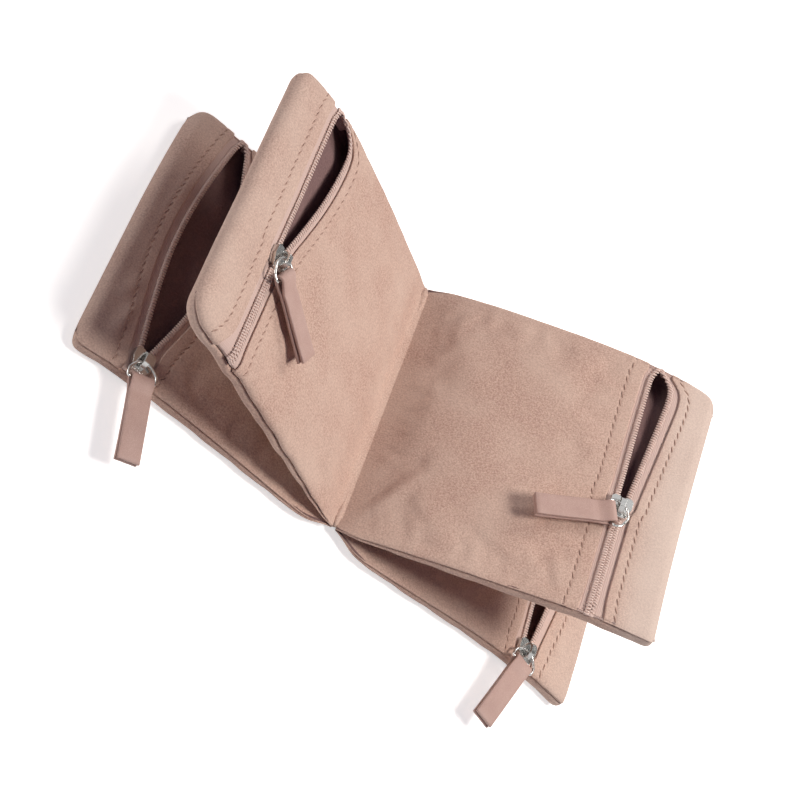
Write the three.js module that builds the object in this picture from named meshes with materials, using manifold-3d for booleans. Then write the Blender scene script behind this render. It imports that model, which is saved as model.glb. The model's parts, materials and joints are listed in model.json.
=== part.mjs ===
// Travel jewelry organizer: a soft booklet of four zip pockets, sewn together along one spine.
// Millimetres, +Z up. The spine runs along Y. The origin is on the floor, in the middle of the whole object.
// Each pocket is drawn flat in its own frame: x away from the spine, y along it, z out of the zip face.
import * as THREE from 'three';
import { mergeGeometries, mergeVertices } from 'three/addons/utils/BufferGeometryUtils.js';
import Module from 'manifold-3d';

const wasm = await Module();
wasm.setup();

// Pockets
const WIDTH = 112;
const POCKET_LENGTH = 122;
const THICKNESS = 8.5;
const WALL = 0.9;
const CLEARANCE = 0.3;
const SWELL_LENGTH = 80;
const SWELL_POWER = 1.6;
const EDGE_RADIUS = 1.5;
const CORNER_RADIUS = 4;
const SEAM_DROP = 2.2;
const FRONT_PANEL_START = 7;
const EDGE_STEPS = 2;
const FOLD_ANGLES = [0, 30, 60, 80];
const HOLLOW_FOLD_ANGLES = [0, 35, 70];

// Rings of points along a pocket: shares of the swelling length, and the least distance between two
const SWELL_STATIONS = [0.1, 0.2, 0.35, 0.55, 0.77, 1];
const STATION_SPACING = 1.5;

// Spine
const SPINE_RADIUS = 3;
const SPINE_SIDES = 12;

// Droop of the outer part of a raised pocket
const BEND_BEFORE_ZIP = 12;
const BEND_LENGTH = 24;
const BEND_STEPS = 4;

// Zip
const END_STRIP = 25;
const COIL_HALF_WIDTH = 2.1;
const COIL_HEIGHT = 1.3;
const COIL_PITCH = 3.3;
const TOOTH_WIDTH = 1.05;
const TOOTH_TOP_WIDTH = 0.6;
const TOOTH_REACH = 0.45;
const TOOTH_SINK = 0.1;
const TAPE_THICKNESS = 0.6;
const TAPE_SHOWN = 3;
const TAPE_LAP = 3.5;
const ROW_SPREAD = 1.4;
const LIP_INTERVALS = 10;
const LIP_SPACING = 0.4;

// Slider
const SLIDER_LENGTH = 9;
const SLIDER_NOSE_HALF_WIDTH = 3.1;
const SLIDER_TOP_PLATE = 0.9;
const SLIDER_BOTTOM_PLATE = 0.8;
const SLIDER_LIP = 0.5;
const SLIDER_NOTCH = 1.4;
const SLIDER_WAIST = 0.45;
const POST_LENGTH = 2.4;
const PARTING_START = 1.8;
const PARTING_END = 2;
const BRIDGE_LENGTH = 6.6;
const BRIDGE_WIDTH = 2;
const BRIDGE_STRIP = 0.9;
const BRIDGE_HOLE_HEIGHT = 2.6;

// Pull ring and leather pull tab
const WIRE_RADIUS = 0.6;
const WIRE_SIDES = 6;
const RING_LENGTH = 6.5;
const RING_NEAR_HALF_WIDTH = 2.3;
const RING_SHOULDER = 3.3;
const RING_CORNER = 1.1;
const TAB_WIDTH = 9.5;
const TAB_LENGTH = 30;
const TAB_PLY = 1.3;
const TAB_SLOT = 0.3;
const TAB_TAPER = 5;
const TAB_HOLE_CLEARANCE = 0.15;

// Open mouths: how far each lip bows away from the closed line. Inner is the lip nearer the spine.
const EMPTIED_INNER_BOW = 10;
const EMPTIED_OUTER_BOW = 6;
const HALF_OPEN_BOW = 5;
const TAUT_BOW = 0.5;
const SLACK_INNER_BOW = 1.5;
const SLACK_OUTER_BOW = 4;

// Sliders of the two inner pockets, from the front edge
const LEFT_SLIDER_FROM_FRONT = 44.5;
const RIGHT_SLIDER_FROM_FRONT = 47;

// Heights in a pocket's own frame, measured from its middle plane
const TOP = THICKNESS / 2;
const CAVITY_TOP = TOP - WALL;
const SEAM_HEIGHT = TOP - SEAM_DROP;
const TAPE_TOP = CAVITY_TOP - CLEARANCE;
const TAPE_BOTTOM = TAPE_TOP - TAPE_THICKNESS;
const COIL_TOP = TAPE_TOP + COIL_HEIGHT;
const TOP_PLATE_BOTTOM = COIL_TOP + CLEARANCE;
const TOP_PLATE_TOP = TOP_PLATE_BOTTOM + SLIDER_TOP_PLATE;
const BOTTOM_PLATE_TOP = TAPE_BOTTOM - CLEARANCE;
const BOTTOM_PLATE_BOTTOM = BOTTOM_PLATE_TOP - SLIDER_BOTTOM_PLATE;

// Half widths and ends that follow from the sizes above
const EDGE = WIDTH / 2;
const TAPE_END = EDGE - WALL - CLEARANCE;
const ZIP_FROM_SPINE = POCKET_LENGTH - END_STRIP;
const BEND_START = ZIP_FROM_SPINE - BEND_BEFORE_ZIP;
const PANEL_TO_COIL = COIL_HALF_WIDTH + TAPE_SHOWN;
const SLIDER_INNER_HALF_WIDTH = ROW_SPREAD + COIL_HALF_WIDTH + CLEARANCE;
const SLIDER_HALF_WIDTH = SLIDER_INNER_HALF_WIDTH + SLIDER_LIP;
const POST_HALF_WIDTH = ROW_SPREAD - TOOTH_REACH - CLEARANCE;
const RING_FAR_HALF_WIDTH = TAB_WIDTH / 2 + CLEARANCE + WIRE_RADIUS;
const TAB_HOLE_RADIUS = WIRE_RADIUS + TAB_HOLE_CLEARANCE;
const TAB_FOLD_RADIUS = TAB_HOLE_RADIUS + TAB_PLY;
const TAB_HALF_THICKNESS = TAB_SLOT / 2 + TAB_PLY;
const SLIDER_FRONT_STOP = SLIDER_LENGTH / 2 - TAPE_END;
const HINGE_HEIGHT = TOP;

// The four pockets as the organizer stands open. Angles are in degrees, from the floor up.
const POCKETS = [
  {
    name: 'outer_left', side: -1, angle: 0, droop: 0, sliderY: SLIDER_FRONT_STOP,
    innerBow: EMPTIED_INNER_BOW, outerBow: EMPTIED_OUTER_BOW, ringYaw: 15.6, hangsBySide: false,
  },
  {
    name: 'inner_left', side: -1, angle: 26.5, droop: 6.4, sliderY: LEFT_SLIDER_FROM_FRONT - EDGE,
    innerBow: HALF_OPEN_BOW, outerBow: TAUT_BOW, ringYaw: 62, hangsBySide: true,
  },
  {
    name: 'inner_right', side: 1, angle: 34.2, droop: 9.6, sliderY: RIGHT_SLIDER_FROM_FRONT - EDGE,
    innerBow: TAUT_BOW, outerBow: HALF_OPEN_BOW, ringYaw: 70, hangsBySide: true,
  },
  {
    name: 'outer_right', side: 1, angle: 0, droop: 0, sliderY: SLIDER_FRONT_STOP,
    innerBow: SLACK_INNER_BOW, outerBow: SLACK_OUTER_BOW, ringYaw: 17.3, hangsBySide: false,
  },
];

const fabric = (color) => new THREE.MeshStandardMaterial({ color, roughness: 0.95, metalness: 0 });
const FRONT_PANEL_CLOTH = fabric(0xc4a395);
const BACK_PANEL_CLOTH = fabric(0xb8968a);
const ZIP_TAPE = fabric(0xcfb0a4);
const SPINE_CLOTH = fabric(0x9d7a70);
const PULL_LEATHER = new THREE.MeshStandardMaterial({ color: 0xc69f94, roughness: 0.7, metalness: 0 });
const POLISHED_METAL = new THREE.MeshStandardMaterial({ color: 0xd8d8d8, roughness: 0.2, metalness: 1 });

const radians = THREE.MathUtils.degToRad;
const clamp = THREE.MathUtils.clamp;

function smoothStep(t) {
  const u = clamp(t, 0, 1);
  return u * u * (3 - 2 * u);
}

// Indexed geometry of one closed body, with its faces turned out.
function closedGeometry(points, triangles) {
  let volume = 0;
  for (const [a, b, c] of triangles) {
    volume += points[a].dot(points[b].clone().cross(points[c]));
  }
  const faces = volume > 0 ? triangles : triangles.map(([a, b, c]) => [a, c, b]);
  const geometry = new THREE.BufferGeometry();
  geometry.setAttribute('position', new THREE.Float32BufferAttribute(points.flatMap((p) => p.toArray()), 3));
  geometry.setIndex(faces.flat());
  return geometry;
}

// A solid lofted through rings that all have the same number of points, with flat ends.
function loft(rings) {
  const count = rings[0].length;
  const triangles = [];
  for (let r = 0; r + 1 < rings.length; r += 1) {
    for (let k = 0; k < count; k += 1) {
      const a = r * count + k;
      const b = r * count + ((k + 1) % count);
      triangles.push([a, b, b + count], [a, b + count, a + count]);
    }
  }
  const last = (rings.length - 1) * count;
  for (let k = 1; k + 1 < count; k += 1) {
    triangles.push([0, k + 1, k], [last, last + k, last + k + 1]);
  }
  return closedGeometry(rings.flat(), triangles);
}

// Moves a point of a flat pocket onto the curve of a pocket whose outer part droops.
function bendPoint(point, droop) {
  const whole = radians(droop);
  const along = clamp(point.x - BEND_START, 0, BEND_LENGTH);
  if (whole === 0 || along === 0) return point.clone();
  const radius = BEND_LENGTH / whole;
  const turn = along / radius;
  const beyond = Math.max(point.x - BEND_START - BEND_LENGTH, 0);
  const x = BEND_START + radius * Math.sin(turn) + beyond * Math.cos(turn) + point.z * Math.sin(turn);
  const z = -radius * (1 - Math.cos(turn)) - beyond * Math.sin(turn) + point.z * Math.cos(turn);
  return new THREE.Vector3(x, point.y, z);
}

function bent(geometry, droop) {
  const position = geometry.getAttribute('position');
  const point = new THREE.Vector3();
  for (let i = 0; i < position.count; i += 1) {
    const moved = bendPoint(point.fromBufferAttribute(position, i), droop);
    position.setXYZ(i, moved.x, moved.y, moved.z);
  }
  return geometry;
}

function toSolid(geometry) {
  const bare = geometry.clone();
  bare.deleteAttribute('normal');
  bare.deleteAttribute('uv');
  const merged = mergeVertices(bare, 1e-5);
  return new wasm.Manifold(new wasm.Mesh({
    numProp: 3,
    vertProperties: new Float32Array(merged.getAttribute('position').array),
    triVerts: new Uint32Array(merged.getIndex().array),
  }));
}

function toGeometry(solid) {
  const mesh = solid.getMesh();
  const geometry = new THREE.BufferGeometry();
  geometry.setAttribute('position', new THREE.BufferAttribute(new Float32Array(mesh.vertProperties), 3));
  geometry.setIndex(new THREE.BufferAttribute(new Uint32Array(mesh.triVerts), 1));
  return geometry;
}

function joined(geometries) {
  return toGeometry(geometries.map(toSolid).reduce((whole, part) => whole.add(part)));
}

// A prism with its outline in x and y, from one height to another.
function plate(outline, bottom, top) {
  const shape = new THREE.Shape(outline.map(([x, y]) => new THREE.Vector2(x, y)));
  const geometry = new THREE.ExtrudeGeometry(shape, { depth: top - bottom, bevelEnabled: false });
  return geometry.translate(0, 0, bottom);
}

// A prism with its outline in y and z, running along x over a width centred on x = 0.
function prismAcross(outline, width) {
  const shape = new THREE.Shape(outline.map(([y, z]) => new THREE.Vector2(y, z)));
  const geometry = new THREE.ExtrudeGeometry(shape, { depth: width, bevelEnabled: false });
  geometry.translate(0, 0, -width / 2);
  return geometry.applyMatrix4(new THREE.Matrix4().makeBasis(
    new THREE.Vector3(0, 1, 0), new THREE.Vector3(0, 0, 1), new THREE.Vector3(1, 0, 0)));
}

// Half of the pocket's thickness at a distance from the spine: it swells quickly, then levels out.
function halfThickness(x) {
  const share = clamp(x / SWELL_LENGTH, 0, 1);
  return TOP * (1 - (1 - share) ** SWELL_POWER);
}

function distanceWhereHalfThicknessIs(height) {
  return SWELL_LENGTH * (1 - (1 - height / TOP) ** (1 / SWELL_POWER));
}

// Places along the pocket where its surface needs a ring of points.
function stationsBetween(start, end) {
  const swell = SWELL_STATIONS.map((share) => share * SWELL_LENGTH);
  const bend = Array.from({ length: BEND_STEPS + 1 }, (_, i) => BEND_START + (BEND_LENGTH * i) / BEND_STEPS);
  const kept = [start];
  for (const x of [...swell, ...bend].sort((a, b) => a - b)) {
    if (x > kept.at(-1) + STATION_SPACING && x < end - STATION_SPACING) kept.push(x);
  }
  return [...kept, end];
}

// One ring of the pocket's outline, across its width, with rounded long edges.
function sectionRing(x, halfWidth, halfHeight, radius, steps) {
  const r = Math.min(radius, halfHeight * 0.9);
  const ring = [];
  for (let corner = 0; corner < 4; corner += 1) {
    const signY = corner === 0 || corner === 3 ? 1 : -1;
    const signZ = corner < 2 ? 1 : -1;
    for (let i = 0; i <= steps; i += 1) {
      const angle = (Math.PI / 2) * (corner + i / steps);
      const y = signY * (halfWidth - r) + r * Math.cos(angle);
      ring.push(new THREE.Vector3(x, y, signZ * (halfHeight - r) + r * Math.sin(angle)));
    }
  }
  return ring;
}

// The pocket as a full body, with a round fold at its outer end, drawn in by an inset.
function pillow(start, inset, noseAngles, edgeRadius, edgeSteps) {
  const foldRadius = TOP - inset;
  const foldStart = POCKET_LENGTH - TOP;
  const rings = stationsBetween(start, foldStart).map((x) => sectionRing(
    x, EDGE - inset, halfThickness(x) - inset, edgeRadius, edgeSteps));
  for (const degrees of noseAngles) {
    const angle = radians(degrees);
    const drawnIn = CORNER_RADIUS * (1 - Math.cos(angle));
    rings.push(sectionRing(
      foldStart + foldRadius * Math.sin(angle), EDGE - inset - drawnIn,
      foldRadius * Math.cos(angle), edgeRadius, edgeSteps));
  }
  return loft(rings);
}

// How far a row of teeth stands off the closed line at a place along the zip.
function rowOffset(pocket, y, bow) {
  const fromSlider = y - pocket.sliderY;
  const spread = smoothStep((fromSlider + PARTING_START) / (PARTING_START + PARTING_END));
  const mouthStart = SLIDER_LENGTH / 2 + CLEARANCE;
  const share = clamp((fromSlider - mouthStart) / (EDGE - pocket.sliderY - mouthStart), 0, 1);
  return ROW_SPREAD * spread + bow * Math.sin(Math.PI * share);
}

// Places along the zip where the lips need a point: even steps, and closer ones through the slider.
function lipStations(pocket, end) {
  const even = Array.from({ length: LIP_INTERVALS + 1 }, (_, i) => end * ((2 * i) / LIP_INTERVALS - 1));
  const mouthStart = SLIDER_LENGTH / 2 + CLEARANCE;
  const close = [-PARTING_START, 0, PARTING_END, mouthStart].map((y) => pocket.sliderY + y);
  const sorted = [...even, ...close].filter((y) => Math.abs(y) <= end).sort((a, b) => a - b);
  return sorted.filter((y, i) => i === 0 || i === sorted.length - 1 || y - sorted[i - 1] > LIP_SPACING);
}

const innerLip = (pocket, y) => ZIP_FROM_SPINE - PANEL_TO_COIL - rowOffset(pocket, y, pocket.innerBow);
const outerLip = (pocket, y) => ZIP_FROM_SPINE + PANEL_TO_COIL + rowOffset(pocket, y, pocket.outerBow);

// Everything above the seam between the front panel and the back panel, from the spine to the inner lip.
function aboveSeam(pocket, offset, start) {
  const rings = [];
  const reach = EDGE + WALL;
  const shares = stationsBetween(start, ZIP_FROM_SPINE - PANEL_TO_COIL).map(
    (x) => (x - start) / (ZIP_FROM_SPINE - PANEL_TO_COIL - start));
  for (const y of lipStations(pocket, reach)) {
    const end = innerLip(pocket, y);
    const lower = shares.map((share) => {
      const x = start + share * (end - start);
      return new THREE.Vector3(x, y, (halfThickness(x) * SEAM_HEIGHT) / TOP + offset);
    });
    const upper = shares.map((share) => new THREE.Vector3(start + share * (end - start), y, THICKNESS));
    rings.push([...lower, ...upper.reverse()]);
  }
  return sweptStrip(rings);
}

// A solid swept along y, whose rings are a lower row of points and the same row above it.
function sweptStrip(rings) {
  const count = rings[0].length;
  const half = count / 2;
  const triangles = [];
  for (let r = 0; r + 1 < rings.length; r += 1) {
    for (let k = 0; k < count; k += 1) {
      const a = r * count + k;
      const b = r * count + ((k + 1) % count);
      triangles.push([a, b, b + count], [a, b + count, a + count]);
    }
  }
  const last = (rings.length - 1) * count;
  for (let k = 0; k + 1 < half; k += 1) {
    const above = count - 1 - k;
    triangles.push([k, above - 1, k + 1], [k, above, above - 1]);
    triangles.push([last + k, last + k + 1, last + above - 1], [last + k, last + above - 1, last + above]);
  }
  return closedGeometry(rings.flat(), triangles);
}

// The band between the two lips that the zip fills, above the height of its tape.
function zipBand(pocket) {
  const overlap = CLEARANCE;
  const rings = lipStations(pocket, EDGE + WALL).map((y) => {
    const start = innerLip(pocket, y) - overlap;
    const end = outerLip(pocket, y);
    const xs = [start, (2 * start + end) / 3, (start + 2 * end) / 3, end];
    const lower = xs.map((x) => new THREE.Vector3(x, y, TAPE_TOP));
    const upper = xs.map((x) => new THREE.Vector3(x, y, THICKNESS));
    return [...lower, ...upper.reverse()];
  });
  return sweptStrip(rings);
}

// Back panel: one piece of cloth that runs under the pocket, round its outer fold and up to the zip.
// Front panel: the cloth on the zip face between the spine and the zip, sewn on along both sides.
function pocketPanels(pocket) {
  const bentSolid = (geometry) => toSolid(bent(geometry, pocket.droop));
  const outside = bentSolid(pillow(SPINE_RADIUS + CLEARANCE, 0, FOLD_ANGLES, EDGE_RADIUS, EDGE_STEPS));
  const hollowStart = distanceWhereHalfThicknessIs(WALL + CLEARANCE);
  const hollow = bentSolid(pillow(hollowStart, WALL, HOLLOW_FOLD_ANGLES, CLEARANCE, 1));
  const shell = outside.subtract(hollow);
  const frontSide = bentSolid(aboveSeam(pocket, CLEARANCE / 2, FRONT_PANEL_START));
  const cutForFront = bentSolid(aboveSeam(pocket, -CLEARANCE / 2, FRONT_PANEL_START - CLEARANCE));
  const band = bentSolid(zipBand(pocket));
  return {
    front: toGeometry(shell.intersect(frontSide)),
    back: toGeometry(shell.subtract(cutForFront).subtract(band)),
  };
}

// One tooth: a turn of the coil, lying across the edge of its tape, narrower at the top.
function tooth(row, y, offset) {
  const base = TOOTH_WIDTH / 2;
  const top = TOOTH_TOP_WIDTH / 2;
  const low = TAPE_TOP - TOOTH_SINK;
  const section = [[y - base, low], [y + base, low], [y + top, COIL_TOP], [y - top, COIL_TOP]];
  const tail = ZIP_FROM_SPINE + row * (COIL_HALF_WIDTH + offset);
  const head = ZIP_FROM_SPINE + row * (offset - TOOTH_REACH);
  return loft([tail, head].map((x) => section.map(([py, pz]) => new THREE.Vector3(x, py, pz))));
}

// Half of the zip: a woven tape with its row of coil teeth. Row -1 is on the spine side, row 1 outside.
function zipHalf(pocket, row) {
  const bow = row < 0 ? pocket.innerBow : pocket.outerBow;
  const tapeEdge = TOOTH_REACH + CLEARANCE;
  const tapeBack = PANEL_TO_COIL + TAPE_LAP;
  const tapeRings = lipStations(pocket, TAPE_END).map((y) => {
    const offset = rowOffset(pocket, y, bow);
    const near = ZIP_FROM_SPINE + row * (tapeEdge + offset);
    const far = ZIP_FROM_SPINE + row * (tapeBack + offset);
    const middle = ZIP_FROM_SPINE + row * (PANEL_TO_COIL + offset);
    const xs = [near, middle, far];
    const lower = xs.map((x) => new THREE.Vector3(x, y, TAPE_BOTTOM));
    const upper = xs.map((x) => new THREE.Vector3(x, y, TAPE_TOP));
    return [...lower, ...upper.reverse()];
  });
  const teeth = [];
  const first = -TAPE_END + TOOTH_WIDTH + (row > 0 ? COIL_PITCH / 2 : 0);
  for (let y = first; y < TAPE_END - TOOTH_WIDTH; y += COIL_PITCH) {
    teeth.push(tooth(row, y, rowOffset(pocket, y, bow)));
  }
  const tape = toSolid(bent(sweptStrip(tapeRings), pocket.droop));
  const coil = toSolid(bent(mergeGeometries(teeth), pocket.droop));
  return toGeometry(tape.add(coil));
}

// Slider body: two plates round the coil, the wedge that parts the rows, two lips and a bridge on top.
function sliderBody() {
  const half = SLIDER_LENGTH / 2;
  const wide = SLIDER_HALF_WIDTH;
  const narrow = SLIDER_NOSE_HALF_WIDTH;
  const chamfer = SLIDER_LIP * 2;
  const shoulder = half - chamfer;
  const waist = SLIDER_WAIST;
  const outline = [
    [0, half - SLIDER_NOTCH], [POST_HALF_WIDTH * 2, half], [wide - chamfer, half], [wide, shoulder],
    [wide, waist], [narrow, -half + chamfer], [narrow - chamfer / 2, -half],
    [-narrow + chamfer / 2, -half], [-narrow, -half + chamfer], [-wide, waist], [-wide, shoulder],
    [-wide + chamfer, half], [-POST_HALF_WIDTH * 2, half],
  ];
  const postFront = half - SLIDER_NOTCH / 2;
  const postBack = postFront - POST_LENGTH;
  const postFlankBack = postBack + POST_LENGTH / 3;
  const postFlankFront = postFront - POST_LENGTH / 4;
  const post = [
    [0, postBack], [POST_HALF_WIDTH, postFlankBack], [POST_HALF_WIDTH, postFlankFront],
    [0, postFront], [-POST_HALF_WIDTH, postFlankFront], [-POST_HALF_WIDTH, postFlankBack],
  ];
  const lip = (sign) => [
    [sign * wide, shoulder], [sign * wide, waist], [sign * narrow, -half + chamfer],
    [sign * (narrow - SLIDER_LIP), -half + chamfer], [sign * SLIDER_INNER_HALF_WIDTH, waist],
    [sign * SLIDER_INNER_HALF_WIDTH, shoulder],
  ];
  const lipBottom = TAPE_TOP + CLEARANCE;
  const sink = SLIDER_TOP_PLATE / 4;
  return joined([
    plate(outline, TOP_PLATE_BOTTOM, TOP_PLATE_TOP),
    plate(outline, BOTTOM_PLATE_BOTTOM, BOTTOM_PLATE_TOP),
    plate(post, BOTTOM_PLATE_TOP - sink, TOP_PLATE_BOTTOM + sink),
    plate(lip(1), lipBottom, TOP_PLATE_BOTTOM + sink),
    plate(lip(-1), lipBottom, TOP_PLATE_BOTTOM + sink),
    prismAcross(bridgeOutline(), BRIDGE_WIDTH),
  ]);
}

// Side view of the bridge that the ring passes through, standing on the top plate.
function bridgeOutline() {
  const foot = TOP_PLATE_TOP - SLIDER_TOP_PLATE / 4;
  const holeTop = TOP_PLATE_TOP + BRIDGE_HOLE_HEIGHT;
  const half = BRIDGE_LENGTH / 2;
  const hole = half - BRIDGE_STRIP;
  const round = BRIDGE_HOLE_HEIGHT / 2;
  return [
    [-half, foot], [-hole, foot], [-hole, holeTop - round], [-hole + round, holeTop],
    [hole - round, holeTop], [hole, holeTop - round], [hole, foot], [half, foot],
    [half, holeTop - round], [hole - round / 2, holeTop + BRIDGE_STRIP],
    [-hole + round / 2, holeTop + BRIDGE_STRIP], [-half, holeTop - round],
  ];
}

// Replaces each corner of a closed outline by a short curve.
function roundedOutline(corners, radius) {
  const count = corners.length;
  return corners.flatMap((corner, i) => {
    const before = corners[(i + count - 1) % count];
    const after = corners[(i + 1) % count];
    const towards = (other) => corner.clone().add(other.clone().sub(corner).setLength(radius));
    return new THREE.QuadraticBezierCurve(towards(before), corner, towards(after)).getPoints(2);
  });
}

// A round wire bent into a flat closed loop, from an outline in x and y.
function wireLoop(outline, radius, sides) {
  const count = outline.length;
  const points = [];
  const triangles = [];
  outline.forEach((point, i) => {
    const back = point.clone().sub(outline[(i + count - 1) % count]).normalize();
    const ahead = outline[(i + 1) % count].clone().sub(point).normalize();
    const run = back.clone().add(ahead).normalize();
    const out = new THREE.Vector2(run.y, -run.x).divideScalar(run.dot(ahead));
    for (let k = 0; k < sides; k += 1) {
      const angle = (2 * Math.PI * (k + 0.5)) / sides;
      const sideways = radius * Math.cos(angle);
      points.push(new THREE.Vector3(
        point.x + sideways * out.x, point.y + sideways * out.y, radius * Math.sin(angle)));
      const a = i * sides + k;
      const b = i * sides + ((k + 1) % sides);
      const c = ((i + 1) % count) * sides + ((k + 1) % sides);
      const d = ((i + 1) % count) * sides + k;
      triangles.push([a, b, c], [a, c, d]);
    }
  });
  return closedGeometry(points, triangles);
}

// Pull ring: flat wire loop, narrow where it passes the bridge and wide where the leather is folded on.
// It lies along -y from its near bar. A ring that hangs by its side has the origin on its slanted leg.
function pullRing(contact) {
  const near = RING_NEAR_HALF_WIDTH;
  const far = RING_FAR_HALF_WIDTH;
  const corners = [
    [near, 0], [far, -RING_SHOULDER], [far, -RING_LENGTH],
    [-far, -RING_LENGTH], [-far, -RING_SHOULDER], [-near, 0],
  ].map(([x, y]) => new THREE.Vector2(x, y));
  const geometry = wireLoop(roundedOutline(corners, RING_CORNER), WIRE_RADIUS, WIRE_SIDES);
  return geometry.translate(-contact.x, -contact.y, 0);
}

// Pull tab: one strip of leather folded over the far bar of the ring, its two plies lying together.
// The bar runs along x through the origin, and the tab lies along -y.
function pullTab() {
  const outerArc = arcPoints(TAB_FOLD_RADIUS, 6);
  const innerArc = arcPoints(TAB_HOLE_RADIUS, 4).reverse();
  const plyOut = TAB_HALF_THICKNESS;
  const plyIn = TAB_SLOT / 2;
  const outline = [
    ...outerArc,
    [-TAB_TAPER, -plyOut], [-TAB_LENGTH, -plyOut], [-TAB_LENGTH, -plyIn], [-TAB_TAPER, -plyIn],
    ...innerArc,
    [-TAB_TAPER, plyIn], [-TAB_LENGTH, plyIn], [-TAB_LENGTH, plyOut], [-TAB_TAPER, plyOut],
  ];
  return mergeVertices(stripped(prismAcross(outline, TAB_WIDTH)), 1e-5);
}

function stripped(geometry) {
  geometry.deleteAttribute('normal');
  geometry.deleteAttribute('uv');
  return geometry;
}

// Half circle round the bar on the side away from the tab, from above to below.
function arcPoints(radius, steps) {
  return Array.from({ length: steps + 1 }, (_, i) => {
    const angle = Math.PI / 2 - (Math.PI * i) / steps;
    return [radius * Math.cos(angle), radius * Math.sin(angle)];
  });
}

// Where the ring passes the bridge: its near bar, or the middle of its slanted leg on the side of the spine.
function ringContact(pocket) {
  if (!pocket.hangsBySide) return new THREE.Vector2(0, 0);
  return new THREE.Vector2(-(RING_NEAR_HALF_WIDTH + RING_FAR_HALF_WIDTH) / 2, -RING_SHOULDER / 2);
}

// How far forward of the slider's middle the ring rests in its bridge: against the front leg, or nowhere.
function pivotForward(pocket) {
  if (pocket.hangsBySide) return 0;
  const yaw = radians(pocket.ringYaw);
  const legInside = BRIDGE_LENGTH / 2 - BRIDGE_STRIP - CLEARANCE;
  return legInside - WIRE_RADIUS / Math.cos(yaw) - (BRIDGE_WIDTH / 2) * Math.tan(yaw);
}

function namedMesh(name, geometry, material) {
  const mesh = new THREE.Mesh(geometry, material);
  mesh.name = name;
  return mesh;
}

// Turn of the zip face at the zip line, in a pocket whose outer part droops.
function turnAtZip(pocket) {
  return (radians(pocket.droop) * clamp(ZIP_FROM_SPINE - BEND_START, 0, BEND_LENGTH)) / BEND_LENGTH;
}

// Height of the front panel's top at a place seen from the slider, which sits on the zip line.
function panelHeight(pocket, fromZip) {
  const flat = ZIP_FROM_SPINE + fromZip;
  const seat = bendPoint(new THREE.Vector3(ZIP_FROM_SPINE, 0, 0), pocket.droop);
  const top = bendPoint(new THREE.Vector3(flat, 0, halfThickness(flat)), pocket.droop).sub(seat);
  return top.applyAxisAngle(new THREE.Vector3(0, 1, 0), -turnAtZip(pocket)).z;
}

// Where the ring turns: the height of its wire in the bridge, its axis, and its lift off the zip face.
// A ring that hangs by its side rests high in the bridge, so that the folded leather clears the slider.
function ringSeat(pocket) {
  const yaw = new THREE.Quaternion().setFromAxisAngle(new THREE.Vector3(0, 0, 1), -radians(pocket.ringYaw));
  const contact = ringContact(pocket);
  if (!pocket.hangsBySide) {
    return { height: TOP_PLATE_TOP + BRIDGE_HOLE_HEIGHT / 2, contact, turn: yaw };
  }
  const height = TOP_PLATE_TOP + BRIDGE_HOLE_HEIGHT - WIRE_RADIUS - CLEARANCE / 2;
  const leg = new THREE.Vector3(
    RING_NEAR_HALF_WIDTH - RING_FAR_HALF_WIDTH, -RING_SHOULDER, 0).normalize();
  const fromContact = new THREE.Vector3(-contact.x, -RING_LENGTH - contact.y, 0);
  const reach = leg.clone().cross(fromContact);
  const rise = TOP_PLATE_TOP + CLEARANCE + TAB_FOLD_RADIUS - height;
  const lift = new THREE.Quaternion().setFromAxisAngle(leg, Math.asin(clamp(rise / reach.z, -1, 1)));
  return { height, contact, turn: yaw.multiply(lift) };
}

// Pitch of the tab about its bar that lets its far end lie on the front panel, wherever the slider stands.
function pitchOntoPanel(pocket, seat) {
  const along = new THREE.Vector3(0, -1, 0).applyQuaternion(seat.turn);
  const across = new THREE.Vector3(1, 0, 0).applyQuaternion(seat.turn);
  const up = new THREE.Vector3(0, 0, 1).applyQuaternion(seat.turn);
  const bar = new THREE.Vector3(-seat.contact.x, -RING_LENGTH - seat.contact.y, 0);
  bar.applyQuaternion(seat.turn);
  const surface = panelHeight(pocket, bar.x + along.x * TAB_LENGTH);
  const edgeDrop = (Math.abs(across.z) * TAB_WIDTH) / 2;
  const end = surface + CLEARANCE + TAB_HALF_THICKNESS + edgeDrop;
  const fall = (end - seat.height - bar.z) / TAB_LENGTH;
  return Math.asin(fall / Math.hypot(along.z, up.z)) - Math.atan2(along.z, up.z);
}

// The slider, ring and tab of one pocket, placed on its zip.
function zipPull(pocket) {
  const slider = new THREE.Group();
  slider.position.copy(bendPoint(new THREE.Vector3(ZIP_FROM_SPINE, pocket.sliderY, 0), pocket.droop));
  slider.rotation.y = turnAtZip(pocket);
  slider.add(namedMesh(`${pocket.name}_slider`, sliderBody(), POLISHED_METAL));

  const seat = ringSeat(pocket);
  const ring = new THREE.Group();
  ring.position.set(0, -pivotForward(pocket), seat.height);
  ring.quaternion.copy(seat.turn);
  ring.add(namedMesh(`${pocket.name}_pull_ring`, pullRing(seat.contact), POLISHED_METAL));

  const tab = new THREE.Group();
  tab.position.set(-seat.contact.x, -RING_LENGTH - seat.contact.y, 0);
  tab.rotation.x = -pitchOntoPanel(pocket, seat);
  tab.add(namedMesh(`${pocket.name}_pull_tab`, pullTab(), PULL_LEATHER));
  ring.add(tab);
  slider.add(ring);
  return slider;
}

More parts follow.
